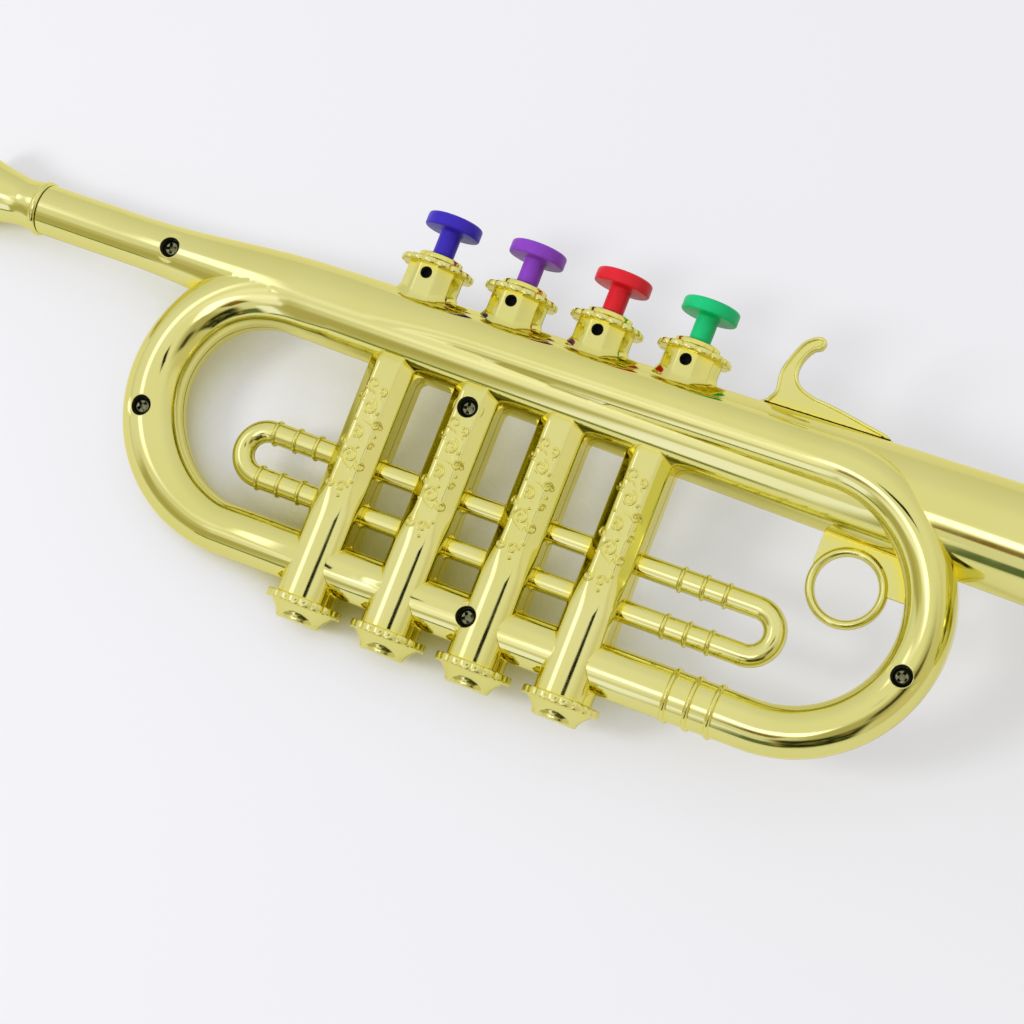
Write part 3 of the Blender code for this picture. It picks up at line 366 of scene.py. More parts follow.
DARK_STOPS = (
    (0.40, (0.012, 0.015, 0.008)), (0.50, (0.08, 0.10, 0.04)),
    (0.58, (0.26, 0.17, 0.08)), (0.66, (0.55, 0.50, 0.36)),
)
CAMERA_CARD = (-63, 80.5, 6.5, 2.7, 0.6, (0.008, 0.008, 0.008))

# The floor by how open it lies: its glow in a camera or mirror, the glow's share, and its tint; glow and tint turn
# dark yellow where the instrument covers the floor, painted shade and painted light bounced off the plating
FLOOR_GLOW_PAINTED_SHADE = (
    (0.0, (0.09, 0.07, 0.001)), (0.20, (0.24, 0.21, 0.01)), (0.34, (0.47, 0.43, 0.13)),
    (0.47, (0.78, 0.77, 0.66)), (0.62, (0.905, 0.905, 0.91)), (1.0, (0.915, 0.915, 0.93)),
)
FLOOR_GLOW_SHARE = 0.5
# Painted shade and painted bounce light: the floor's own colour is tinted dark yellow where it lies covered.
FLOOR_PAINTED_SHADE_TINT = ((0.12, (0.50, 0.45, 0.10)), (0.34, (0.66, 0.63, 0.38)), (0.50, (0.76, 0.76, 0.765)))
FLOOR_HALF_WIDTH = 4.0

# Lamp and camera
LAMP_AIM = (0.045, -0.03, 0.0)
LAMP_WAY = (-0.50, -0.22, 0.80)
LAMP_DISTANCE = 1.4
LAMP_SIZE = 0.36
LAMP_POWER = 9.0
IMAGE_PIXELS = 1024
FOCAL_PIXELS = 2450
SENSOR_WIDTH = 36

UP = Vector((0, 1, 0))
FRONT = Vector((0, 0, 1))


# Meshes


def add_object(name, data):
    item = bpy.data.objects.new(name, data)
    bpy.context.scene.collection.objects.link(item)
    return item


def make_object(name, bm):
    bmesh.ops.recalc_face_normals(bm, faces=bm.faces)
    mesh = bpy.data.meshes.new(name)
    bm.to_mesh(mesh)
    bm.free()
    return add_object(name, mesh)


def loft(rings, closed=False, name="form"):
    """A skin through rings of points: capped at both ends, or closed on itself."""
    bm = bmesh.new()
    rows = [[bm.verts.new(point) for point in ring] for ring in rings]
    following = rows[1:] + rows[:1] if closed else rows[1:]
    for lower, upper in zip(rows, following):
        for here in range(len(lower)):
            after = (here + 1) % len(lower)
            bm.faces.new((lower[here], lower[after], upper[after], upper[here]))
    if not closed:
        bm.faces.new(rows[0][::-1])
        bm.faces.new(rows[-1])
    return make_object(name, bm)


def shares(steps):
    """Equal steps from 0 to 1, both kept."""
    return [step / steps for step in range(steps + 1)]


def around(sides, turn_share=0.0):
    return [math.tau * (index + turn_share) / sides for index in range(sides)]


def quarter(steps):
    """Insets of a rounded edge, from (1, 0) to (0, 1)."""
    return [(1 - math.sin(math.pi / 2 * s), 1 - math.cos(math.pi / 2 * s)) for s in shares(steps)]


def rounding(spot, radius, along, across, steps=EDGE_STEPS):
    """A quarter round for a profile, which starts along from the spot and ends across from it."""
    return [(spot + along * a, radius + across * b) for a, b in quarter(steps)]


def ring_x(x, radius, sides, y=0.0):
    return [Vector((x, y + radius * math.cos(a), radius * math.sin(a))) for a in around(sides, 0.5)]


def ring_y(y, radius, sides, x=0.0):
    return [Vector((x + radius * math.sin(a), y, radius * math.cos(a))) for a in around(sides, 0.5)]


def ring_z(z, radius, sides, x=0.0, y=0.0):
    return [Vector((x + radius * math.cos(a), y + radius * math.sin(a), z)) for a in around(sides)]


def hoop(centre, across, up, sides, turn_share=0.0):
    """Points round a centre, on the ellipse with the two given half axes."""
    return [centre + across * math.cos(a) + up * math.sin(a) for a in around(sides, turn_share)]


def turned(ring, profile, sides, *centre, closed=False, name="form"):
    """A turned form, from pairs of place and radius along the ring's axis."""
    return loft([ring(spot, radius, sides, *centre) for spot, radius in profile], closed, name)


def rod(ring, start, end, radius, sides, *centre):
    return turned(ring, ((start, radius), (end, radius)), sides, *centre)


def plate(outline, low, high):
    return loft([[Vector((x, y, z)) for x, y in outline] for z in (low, high)])


def smooth_step(share):
    share = min(max(share, 0.0), 1.0)
    return share * share * (3 - 2 * share)


def blend(low, high, share):
    return low + (high - low) * share


def bent(start, knee, end, t):
    """A point on the way from the start to the end that leans towards the knee."""
    return start * (1 - t) ** 2 + knee * 2 * t * (1 - t) + end * t**2


def passing(before, start, end, after, t):
    """A point between the start and the end on a smooth way through all four."""
    bend = (2 * before - 5 * start + 4 * end - after) * t * t
    twist = (3 * start - before - 3 * end + after) * t * t * t
    return (2 * start + (end - before) * t + bend + twist) / 2


def combine(target, operation, others):
    """Joins the others to the target, or cuts them from it, and leaves a plain mesh."""
    helpers = bpy.data.collections.new("helpers")
    for other in others:
        helpers.objects.link(other)
    modifier = target.modifiers.new("combine", "BOOLEAN")
    modifier.operation = operation
    modifier.solver = "MANIFOLD"
    modifier.operand_type = "COLLECTION"
    modifier.collection = helpers
    graph = bpy.context.evaluated_depsgraph_get()
    shape = bpy.data.meshes.new_from_object(target.evaluated_get(graph))
    target.modifiers.clear()
    target.data = shape
    for other in others:
        bpy.data.objects.remove(other, do_unlink=True)
    bpy.data.collections.remove(helpers)
    return target


def eased(points, radius, steps=EDGE_STEPS, closed=False):
    """The outline with each corner rounded off."""
    points = [Vector(point) for point in points]
    count = len(points)
    result = [] if closed else [points[0]]
    for index in range(count) if closed else range(1, count - 1):
        here = points[index]
        before = points[index - 1] - here
        after = points[(index + 1) % count] - here
        start = here + before * min(radius / before.length, 0.49)
        end = here + after * min(radius / after.length, 0.49)
        result += [bent(start, here, end, t) for t in shares(steps)]
    if not closed:
        result.append(points[-1])
    return result


def spaced(points, count):
    """The outline's points at equal steps of its length, both ends kept."""
    reach = [0.0]
    for here, after in zip(points, points[1:]):
        reach.append(reach[-1] + (after - here).length)
    result = []
    index = 0
    for step in range(count):
        goal = reach[-1] * step / (count - 1)
        while index < len(points) - 2 and reach[index + 1] < goal:
            index += 1
        share = (goal - reach[index]) / max(reach[index + 1] - reach[index], 1e-9)
        result.append(points[index].lerp(points[index + 1], min(share, 1.0)))
    return result


# The shells' outside


def main_radius(x):
    swell = smooth_step((x - LEADPIPE_END_X) / SWELL_LENGTH)
    cone = max((x - BODY_START_X) / (BELL_JOINT_X - BODY_START_X), 0.0)
    return blend(LEADPIPE_RADIUS, BODY_RADIUS, swell) + (BELL_JOINT_RADIUS - BODY_RADIUS) * cone


def main_tube(start, end, inset):
    stations = [blend(start, end, share) for share in shares(MAIN_STEPS)]
    return turned(ring_x, [(x, main_radius(x) - inset) for x in stations], FINE_SIDES)


def loop_radius(x):
    low = LOOP_LEFT_X - LOOP_BEND_RADIUS
    high = LOOP_RIGHT_X + LOOP_BEND_RADIUS
    return blend(LOOP_TUBE_LEFT, LOOP_TUBE_RIGHT, (x - low) / (high - low))


def loop_widening(share):
    """How far the left bend spreads into the window, by its share from the bottom to the top."""
    last = len(LOOP_WIDEN) - 1
    spot = min(max(share * LOOP_WIDEN_PER_BEND, 0.0), last - 1e-6)
    near = [LOOP_WIDEN[min(max(int(spot) + shift, 0), last)] for shift in (-1, 0, 1, 2)]
    return passing(*near, spot - int(spot))


def loop_section(centre, outward, radius, lift, widen, steps):
    """An arch on each face, lifted off the mid-plane and widened on its inner side."""
    angles = [math.pi * share for share in shares(steps)]
    half = radius + widen / 2
    front = [(half * math.cos(a) - widen / 2, lift + radius * math.sin(a)) for a in angles]
    back = [(across, -height) for across, height in reversed(front)]
    return [Vector((*(centre + outward * across), height)) for across, height in front + back]


def bead_profile(half_length, height):
    """Pairs of place and height over a half-round bead."""
    angles = [math.pi * share for share in shares(8)]
    return [(-half_length * math.cos(a), height * math.sin(a)) for a in angles]


def bend_stop(x, side, share):
    """Centre and way out at a share of the loop's bend round x."""
    outward = Vector((side * math.sin(math.pi * share), side * math.cos(math.pi * share)))
    return Vector((x, LOOP_CENTRE_Y)) + outward * LOOP_BEND_RADIUS, outward


def loop_stops(bend_steps, run_steps):
    """Places round the loop: centre, way out, lift, bead height and widening."""
    stops = []
    run = LOOP_RIGHT_X - LOOP_LEFT_X
    for share in shares(run_steps)[:-1]:
        centre = Vector((LOOP_LEFT_X + run * share, LOOP_TOP_RISE))
        lift = blend(LOOP_LIFT_LEFT, LOOP_LIFT_RIGHT, share)
        widen = loop_widening(1.0 + run * share / (math.pi * LOOP_BEND_RADIUS))
        stops.append((centre, Vector((0, 1)), lift, 0.0, widen))
    for share in shares(bend_steps):
        lift = blend(LOOP_LIFT_RIGHT, LOOP_BELT, smooth_step(share / LOOP_SETTLE_SHARE))
        stops.append((*bend_stop(LOOP_RIGHT_X, 1, share), lift, 0.0, 0.0))
    for bead in reversed(range(BEAD_COUNT)):
        middle = LAST_VALVE_X + LOOP_FIRST_BEAD + LOOP_BEAD_PITCH * bead
        for along, up in reversed(bead_profile(BEAD_HALF_LENGTH, LOOP_BEAD_HEIGHT)):
            centre = Vector((middle + along, LOOP_BOTTOM_Y))
            stops.append((centre, Vector((0, -1)), LOOP_BELT, up, 0.0))
    for share in shares(bend_steps)[:-1]:
        risen = smooth_step((share - LOOP_LEAVE_SHARE) / (1 - LOOP_LEAVE_SHARE))
        lift = blend(LOOP_BELT, LOOP_LIFT_LEFT, risen)
        stops.append((*bend_stop(LOOP_LEFT_X, -1, share), lift, 0.0, loop_widening(share)))
    return stops


def loop(bend_steps, run_steps, arch_steps, inset=0.0):
    """The loop's tube, or its hollow at the inset, which leaves out the beads."""
    rings = []
    for centre, outward, lift, bead, widen in loop_stops(bend_steps, run_steps):
        if not (inset and bead):
            radius = loop_radius(centre.x) + bead - inset
            rings.append(loop_section(centre, outward, radius, lift, widen, arch_steps))
    return loft(rings, closed=True)


def casing_half(share, rounded, inset=0.0):
    """One face of a casing's section, from flank to flank, with its facets eased."""
    half = CASING_HALF_WIDTH - inset
    flank = CASING_FLANK_DEPTH * share - inset / 2
    if rounded:
        deep = CASING_NOSE_DEPTH * share - inset - flank
        angles = [math.pi * turn for turn in shares(48)]
        arc = [Vector((half * math.cos(a), flank + deep * math.sin(a))) for a in angles]
        return spaced([Vector((half, 0)), *arc, Vector((-half, 0))], CASING_POINTS)
    flat = CASING_FRONT_DEPTH * share - inset
    front = half * CASING_FLAT_SHARE
    top = half - CASING_DRAFT
    corners = [(half, 0), (top, flank), (front, flat), (-front, flat), (-top, flank), (-half, 0)]
    return spaced(eased(corners, CASING_CORNER), CASING_POINTS)


def casing_ring(x, y, outline):
    back = [(across, -painted_crease_bounce) for across, painted_crease_bounce in reversed(outline)][1:-1]
    return [Vector((x + across, y, painted_crease_bounce)) for across, painted_crease_bounce in [*outline, *back]]


def casing(x):
    facets = casing_half(1.0, False)
    nose = casing_half(1.0, True)
    rings = []
    for share in shares(4):
        y = -blend(CASING_TOP_DROP, CASING_SHOULDER_DROP, share)
        rings.append(casing_ring(x, y, casing_half(blend(CASING_TOP_SHARE, 1.0, share), False)))
    for share in shares(CASING_RINGS)[1:-1]:
        y = -blend(CASING_SHOULDER_DROP, CASING_MORPH_START, share)
        rings.append(casing_ring(x, y, facets))
    for share in shares(16):
        y = -blend(CASING_MORPH_START, CASING_MORPH_END, share)
        share = smooth_step(share)
        rings.append(casing_ring(x, y, [a.lerp(b, share) for a, b in zip(facets, nose)]))
    rings.append(casing_ring(x, -CAP_FLANGE_DROP, nose))
    return loft(rings)


def casing_hollow(x):
    floor = CAP_FLANGE_DROP - CAP_FLANGE_THICKNESS / 2 - CASING_FLOOR_THICKNESS
    outline = casing_half(1.0, False, WALL)
    return loft([casing_ring(x, y, outline) for y in (-CASING_HOLLOW_TOP_DROP, -floor)])


def lobed_disc(x, y, thickness, radius, height, lobes, ease):
    """A disc whose rim is a row of round lobes with narrow valleys, eased at both faces."""
    angles = around(lobes * LOBE_STEPS)
    dips = [height * (1 - math.sqrt(abs(math.cos(lobes * a / 2)))) for a in angles]
    edge = [(thickness / 2 - ease * low, ease * side) for side, low in quarter(EDGE_STEPS)]
    edge += [(-level, side) for level, side in reversed(edge)]
    rings = []
    for level, side in edge:
        spots = [(a, radius - dip - side) for a, dip in zip(angles, dips)]
        rings.append([Vector((x + r * math.sin(a), y + level, r * math.cos(a))) for a, r in spots])
    return loft(rings)


def bottom_cap(x):
    top = CAP_FLANGE_THICKNESS / 2 - CAP_FLANGE_DROP
    low = -CAP_FLANGE_DROP - CAP_FLANGE_THICKNESS / 2
    wide = CAP_COLLAR_RADIUS + CAP_NECK_FLARE
    profile = [
        (top + CAP_COLLAR_LENGTH, CAP_COLLAR_RADIUS), (top, CAP_COLLAR_RADIUS),
        (low + EDGE_EASE, CAP_COLLAR_RADIUS), (low + EDGE_EASE, wide),
    ]
    for share in shares(14):
        reach = blend(wide, CAP_NECK_RADIUS, math.sin(share * math.pi / 2))
        profile.append((low - (CAP_NECK_LENGTH - EDGE_EASE) * share, reach))
    profile.append((low - CAP_NECK_LENGTH, CAP_NECK_RADIUS - EDGE_EASE))
    flange = lobed_disc(
        x, -CAP_FLANGE_DROP, CAP_FLANGE_THICKNESS,
        CAP_FLANGE_RADIUS, CAP_LOBE_HEIGHT, CAP_LOBES, CAP_FLANGE_EASE,
    )
    return [flange, turned(ring_y, profile, FINE_SIDES, x)]


def slide(anchor, direction, reach, first_bead):
    """A U of beaded tube, from the upper row round to the lower."""
    middle = -(UPPER_ROW_DROP + LOWER_ROW_DROP) / 2
    radius = (LOWER_ROW_DROP - UPPER_ROW_DROP) / 2
    leg = [(0.0, 0.0)]
    for bead in range(BEAD_COUNT):
        start = first_bead + SLIDE_BEAD_PITCH * bead
        leg += [(start + a, up) for a, up in bead_profile(SLIDE_BEAD_HALF_LENGTH, SLIDE_BEAD_HEIGHT)]
    stops = [(along, 0.0, up) for along, up in leg]
    stops += [(reach, math.pi * share, 0.0) for share in shares(40)]
    stops += [(along, math.pi, up) for along, up in reversed(leg)]
    rings = []
    for along, angle, up in stops:
        outward = Vector((direction * math.sin(angle), math.cos(angle), 0))
        centre = Vector((anchor + direction * along, middle, 0)) + outward * radius
        tube = SLIDE_TUBE_RADIUS + up
        rings.append(hoop(centre, outward * tube, FRONT * tube, TUBE_SIDES, 0.5))
    return loft(rings)


def finger_ring():
    centre = Vector((RING_X, -RING_DROP, 0))
    bar = FRONT * RING_BAR_DEPTH
    rings = []
    for angle in around(FINE_SIDES):
        outward = Vector((math.cos(angle), math.sin(angle), 0))
        spot = centre + outward * RING_RADIUS
        rings.append(hoop(spot, outward * RING_BAR_RADIUS, bar, PLAIN_SIDES, 0.5))
    return loft(rings, closed=True)


def ring_web():
    right = LOOP_RIGHT_X + LOOP_BEND_RADIUS - LOOP_TUBE_RIGHT / 2
    outline = [
        (WEB_LEFT_X, -LEADPIPE_RADIUS),
        (WEB_LEFT_X, -WEB_LEFT_DROP),
        (RING_X - RING_RADIUS, -RING_DROP),
        (RING_X, -RING_DROP),
        (RING_X + RING_RADIUS, -RING_DROP),
        (RING_X + RING_RADIUS + OVERLAP, -WEB_RIGHT_DROP),
        (right, -WEB_RIGHT_DROP),
        (right, -LEADPIPE_RADIUS),
    ]
    return plate(outline, -WEB_HALF_THICKNESS, WEB_HALF_THICKNESS)


def smooth_outline(points, steps):
    """A smooth closed outline through the points."""
    points = [Vector(point) for point in points]
    curve = []
    for index in range(len(points)):
        near = [points[(index + shift) % len(points)] for shift in (-1, 0, 1, 2)]
        curve += [passing(*near, t) for t in shares(steps)[:-1]]
    return curve


def inward(outline, distance):
    """The closed outline, moved in by the distance."""
    count = len(outline)
    area = sum(outline[i - 1].cross(outline[i]) for i in range(count))
    side = 1 if area > 0 else -1
    result = []
    for index, here in enumerate(outline):
        run = (outline[(index + 1) % count] - outline[index - 1]).normalized()
        result.append(here + Vector((-run.y, run.x)) * side * distance)
    return result


def finger_hook():
    """A flat plate with a raised rim on both faces."""
    knots = [(HOOK_X + HOOK_LENGTH * a, HOOK_RISE + HOOK_HEIGHT * up) for a, up in HOOK_OUTLINE]
    root = HOOK_RISE - HOOK_ROOT
    knots += [(HOOK_X + HOOK_LENGTH, root), (HOOK_X, root)]
    outline = smooth_outline(knots, 8)
    ease = HOOK_RIM_HEIGHT
    middle = HOOK_HALF_THICKNESS - HOOK_RIM_HEIGHT
    levels = [(-middle, ease / 2), (ease - middle, 0.0), (middle - ease, 0.0), (middle, ease / 2)]
    hook = loft([[Vector((*spot, z)) for spot in inward(outline, moved)] for z, moved in levels])
    edge = inward(outline, HOOK_RIM_WIDTH)
    rims = []
    for side in (1, -1):
        rings = []
        for index, spot in enumerate(edge):
            run = edge[(index + 1) % len(edge)] - edge[index - 1]
            across = Vector((-run.y, run.x, 0)).normalized() * HOOK_RIM_WIDTH
            up = FRONT * side * HOOK_RIM_HEIGHT
            rings.append(hoop(Vector((*spot, side * middle)), across, up, 12, 0.5))
        rims.append(loft(rings, closed=True))
    return combine(hook, "UNION", rims)


def turret_outside(x):
    flange_low = TURRET_FLANGE_RISE - TURRET_FLANGE_THICKNESS / 2
    flange_top = TURRET_FLANGE_RISE + TURRET_FLANGE_THICKNESS / 2
    base_low = TURRET_BASE_RISE - TURRET_BASE_DEPTH
    corners = [(p.x, p.z) for p in ring_y(0.0, TURRET_RADIUS, TURRET_SIDES)]
    outline = eased(corners, TURRET_CORNER, 3, closed=True)
    grown = 1 + TURRET_FLARE / TURRET_RADIUS
    body = [[Vector((x + a * grown, base_low, b * grown)) for a, b in outline]]
    for share in shares(8):
        grown = 1 + TURRET_FLARE / TURRET_RADIUS * (1 - math.sin(share * math.pi / 2))
        up = TURRET_FLARE_HEIGHT * share - OVERLAP / 4
        ring = []
        for a, b in outline:
            foot = math.sqrt(main_radius(x) ** 2 - (b * grown) ** 2)
            ring.append(Vector((x + a * grown, foot + up, b * grown)))
        body.append(ring)
    body.append([Vector((x + a, flange_low + OVERLAP / 2, b)) for a, b in outline])
    boss = [(flange_top - OVERLAP / 2, BOSS_RADIUS)]
    boss += rounding(TURRET_TOP_RISE, BOSS_RADIUS, -EDGE_EASE, -EDGE_EASE)
    flange = lobed_disc(
        x, TURRET_FLANGE_RISE, TURRET_FLANGE_THICKNESS,
        TURRET_FLANGE_RADIUS, TURRET_LOBE_HEIGHT, TURRET_LOBES, EDGE_EASE,
    )
    return [loft(body), flange, turned(ring_y, boss, FINE_SIDES, x)]


def cup(x):
    low = -CHAMBER_FLOOR_DROP - CUP_WALL
    return rod(ring_y, low, TURRET_BASE_RISE - OVERLAP, CHAMBER_RADIUS + CUP_WALL, PLAIN_SIDES, x)


def chamber_cuts(x):
    """The chamber's bore, its wind, stem and sound holes, and the slit under the boss's cap."""
    floor = -CHAMBER_FLOOR_DROP
    below = floor - CUP_WALL - OVERRUN
    above = TURRET_TOP_RISE + OVERRUN
    front = TURRET_RADIUS + OVERRUN
    stem_hole = STEM_RADIUS + STEM_CLEARANCE
    slit_low = TURRET_FLANGE_RISE + TURRET_FLANGE_THICKNESS / 2 + OVERLAP / 20
    slit = [(slit_low, BOSS_RADIUS - BOSS_GROOVE_DEPTH), (slit_low, BOSS_RADIUS + OVERRUN / 2)]
    slit += [(slit_low + BOSS_GROOVE_WIDTH, reach) for _, reach in reversed(slit)]
    return [
        rod(ring_y, floor, TURRET_ROOF_RISE, CHAMBER_RADIUS, 48, x),
        rod(ring_y, below, floor + OVERRUN, WIND_HOLE_RADIUS, PLAIN_SIDES, x),
        rod(ring_y, TURRET_ROOF_RISE - OVERRUN, above, stem_hole, 48, x),
        rod(ring_z, 0.0, front, SOUND_HOLE_RADIUS, 32, x, SOUND_HOLE_RISE),
        turned(ring_y, slit, FINE_SIDES, x, closed=True),
    ]


def hook_slits():
    """The dark line between the finger hook and the tube, on both faces."""
    slits = []
    for side in (1, -1):
        near, far = sorted((side * HOOK_SLIT_FLOOR, side * (HOOK_HALF_THICKNESS + OVERRUN)))
        rings = []
        for share in shares(12):
            x = HOOK_X + HOOK_LENGTH * blend(*HOOK_SLIT_SPAN, share)
            low = main_radius(x) - HOOK_SLIT_SINK
            high = low + HOOK_SLIT_WIDTH
            corners = ((low, near), (high, near), (high, far), (low, far))
            rings.append([Vector((x, y, z)) for y, z in corners])
        slits.append(loft(rings))
    return slits


def bend_reach(drop):
    return math.sqrt(LOOP_BEND_RADIUS**2 - drop**2)


def screw_places():
    """Where the screws sit: along, up, and the depth of the surface there."""
    left_x = LOOP_LEFT_X - bend_reach(SCREW_LEFT_BEND_DROP)
    right_x = LOOP_RIGHT_X + bend_reach(SCREW_RIGHT_BEND_DROP)
    run_x = 2 * VALVE_PITCH - CASING_HALF_WIDTH + SCREW_RUN_CLEARANCE
    return [
        (SCREW_LEADPIPE_X, 0.0, main_radius(SCREW_LEADPIPE_X)),
        (left_x, LOOP_CENTRE_Y - SCREW_LEFT_BEND_DROP, LOOP_BELT + LOOP_TUBE_LEFT),
        (VALVE_PITCH, -SCREW_CASING_DROP, CASING_FRONT_DEPTH),
        (run_x, LOOP_BOTTOM_Y, LOOP_BELT + loop_radius(run_x)),
        (right_x, LOOP_CENTRE_Y - SCREW_RIGHT_BEND_DROP, LOOP_BELT + LOOP_TUBE_RIGHT),
    ]


# Scrollwork on the casings


def casing_depth(across, down):
    """Depth of a casing's face at a place across it and down it."""
    flat = CASING_HALF_WIDTH * CASING_FLAT_SHARE
    over = max(abs(across) - flat, 0.0)
    slope = (CASING_FRONT_DEPTH - CASING_FLANK_DEPTH) / (CASING_HALF_WIDTH - CASING_DRAFT - flat)
    bow = math.sqrt(max(1 - (across / CASING_HALF_WIDTH) ** 2, 0.0))
    nose = blend(CASING_FLANK_DEPTH, CASING_NOSE_DEPTH, bow)
    share = smooth_step((down - CASING_MORPH_START) / (CASING_MORPH_END - CASING_MORPH_START))
    return blend(CASING_FRONT_DEPTH - over * slope, nose, share)


def wire(path, widths, x, side):
    """A raised line on a casing's face: half of it stands proud of the surface."""
    near = OVERLAP / 10
    spots = []
    for across, down in path:
        rise = (casing_depth(across + near, down) - casing_depth(across - near, down)) / (2 * near)
        normal = Vector((-rise, 0, 1)).normalized()
        spots.append((Vector((x + across, -down, casing_depth(across, down))), normal))
    rings = []
    for index, (spot, normal) in enumerate(spots):
        run = (spots[min(index + 1, len(spots) - 1)][0] - spots[max(index - 1, 0)][0]).normalized()
        sideways = normal.cross(run).normalized()
        ring = hoop(spot, sideways * widths[index], normal * widths[index], WIRE_SIDES)
        rings.append([Vector((point.x, point.y, point.z * side)) for point in ring])
    return loft(rings)


def curl(across, down, radius, start, turns, tail):
    """A spiral from its eye outwards, then a tail that runs to the given point."""
    path = []
    for share in shares(26):
        angle = start + math.tau * turns * share
        reach = radius * blend(CURL_EYE_SHARE, 1.0, share)
        path.append(Vector((across + reach * math.cos(angle), down + reach * math.sin(angle))))
    if tail:
        last, end = path[-1], Vector(tail)
        knee = last + (last - path[-2]).normalized() * (end - last).length * 0.5
        path += [bent(last, knee, end, t) for t in shares(8)[1:]]
    return path


def scroll_strokes():
    """Curls, ticks and dots of one casing's ornament: path and greatest width."""
    strokes = [(curl(*values), SCROLL_STROKE) for values in SCROLL_CURLS]
    for start, end, width in SCROLL_TICKS:
        strokes.append(([Vector(start).lerp(Vector(end), share) for share in shares(8)], width))
    for across, down, size in SCROLL_DOTS:
        strokes.append(([(across, down + size * (2 * share - 1)) for share in shares(6)], size))
    return strokes


def scrollwork(x, top, side):
    pieces = []
    for path, width in scroll_strokes():
        metres = [(across * SCROLL_SPREAD, top + down * SCROLL_LENGTHEN) for across, down in path]
        widths = []
        for share in shares(len(path) - 1):
            taper = min(1.0, math.sqrt(max(4 * share * (1 - share), 0.0)) + SCROLL_END_SHARE)
            widths.append(width / 1000 * taper)
        pieces.append(wire(metres, widths, x, side))
    return pieces


# Both shells


def corner_fillet(x, y, right, up, radius, painted_crease_bounce):
    """A concave prism in the corner at (x, y), which opens to the right or left and up or down."""
    outline = [(x - right * OVERLAP, y - up * OVERLAP), (x + right * radius, y - up * OVERLAP)]
    outline += [(x + right * radius * a, y + up * radius * b) for a, b in quarter(8)]
    outline.append((x - right * OVERLAP, y + up * radius))
    return plate(outline, -painted_crease_bounce, painted_crease_bounce)


def window_fillets():
    rows = [(-BODY_RADIUS, -1, WINDOW_TOP_FILLET, BODY_RADIUS * 0.4)]
    for drop in (UPPER_ROW_DROP, LOWER_ROW_DROP):
        for up in (1, -1):
            y = up * (CROSS_TUBE_RADIUS - OVERLAP / 4) - drop
            rows.append((y, up, WINDOW_FILLET, CROSS_TUBE_RADIUS / 2))
    rows.append((LOOP_BOTTOM_Y + LOOP_TUBE_RIGHT, 1, WINDOW_FILLET, LOOP_BELT))
    fillets = []
    for x in VALVE_PLACES[:-1]:
        for row in rows:
            fillets.append(corner_fillet(x + CASING_HALF_WIDTH, row[0], 1, *row[1:]))
            fillets.append(corner_fillet(x + VALVE_PITCH - CASING_HALF_WIDTH, row[0], -1, *row[1:]))
    return fillets


def outside_parts():
    """The outer forms of the body, apart from the loop."""
    parts = []
    for x in VALVE_PLACES:
        parts += [casing(x), *bottom_cap(x)]
    for x in VALVE_PLACES[:-1]:
        for drop in (UPPER_ROW_DROP, LOWER_ROW_DROP):
            parts.append(rod(ring_x, x, x + VALVE_PITCH, CROSS_TUBE_RADIUS, TUBE_SIDES, -drop))
    parts += window_fillets()
    parts.append(slide(0.0, -1, SLIDE_LEFT_REACH, SLIDE_FIRST_BEAD_LEFT))
    parts.append(slide(LAST_VALVE_X, 1, SLIDE_RIGHT_REACH, SLIDE_FIRST_BEAD_RIGHT))
    return parts


def upper_parts():
    parts = [main_tube(MAIN_START_X, BELL_JOINT_X, 0.0), finger_hook(), ring_web()]
    for x in VALVE_PLACES:
        parts += turret_outside(x)
    return parts


def build_body():
    """The hollow body of both shells, and a copy of its outside alone."""
    body = combine(loop(BEND_STEPS, RUN_STEPS, ARCH_STEPS), "UNION", outside_parts())
    outside = add_object("outside", body.data.copy())

    hollows = [loop(*HOLLOW_STEPS, WALL), *[casing_hollow(x) for x in VALVE_PLACES]]
    combine(body, "DIFFERENCE", hollows)
    web_hole = WEB_HALF_THICKNESS + OVERRUN
    for item in (body, outside):
        combine(item, "UNION", upper_parts())
        hole = rod(ring_z, -web_hole, web_hole, RING_RADIUS, FINE_SIDES, RING_X, -RING_DROP)
        combine(item, "DIFFERENCE", [hole])
    wind = main_tube(MAIN_START_X - OVERRUN, BULKHEAD_X, WALL)
    bell_bore = main_tube(BULKHEAD_X + WALL, BELL_JOINT_X + OVERRUN, WALL)
    combine(body, "DIFFERENCE", [wind, bell_bore])

    joined = [finger_ring()]
    for index, x in enumerate(VALVE_PLACES):
        top = SCROLL_DROP_UNDER_SCREW if index == 1 else SCROLL_DROP
        for side in (1, -1):
            joined += scrollwork(x, top, side)
    joined += [cup(x) for x in VALVE_PLACES]
    cuts = hook_slits()
    for x in VALVE_PLACES:
        cuts += chamber_cuts(x)
    for x, y, surface in screw_places():
        painted_crease_bounce = surface - WALL / 2
        well = surface - SCREW_WELL_DEPTH
        below = well - SCREW_LENGTH - SEAT_GAP
        joined.append(rod(ring_z, -painted_crease_bounce, painted_crease_bounce, SCREW_POST_RADIUS, PLAIN_SIDES, x, y))
        cuts.append(rod(ring_z, well, surface + OVERRUN, SCREW_WELL_RADIUS, 48, x, y))
        cuts.append(rod(ring_z, below, well + SEAT_GAP, SCREW_HOLE_RADIUS, 16, x, y))
    combine(body, "UNION", joined)
    combine(outside, "UNION", [finger_ring()])
    return combine(body, "DIFFERENCE", cuts), outside


def half_space(side):
    far = BELL_JOINT_X - MAIN_START_X
    near = SEAM_GAP / 2
    low, high = (-far, near) if side > 0 else (-near, far)
    return plate([(-far, -far), (far, -far), (far, far), (-far, far)], low, high)


def coat(item, *materials):
    item.data.materials.clear()
    for material in materials:
        item.data.materials.append(material)


def in_triangles(mesh):
    bm = bmesh.new()
    bm.from_mesh(mesh)
    bmesh.ops.triangulate(bm, faces=bm.faces)
    return bm


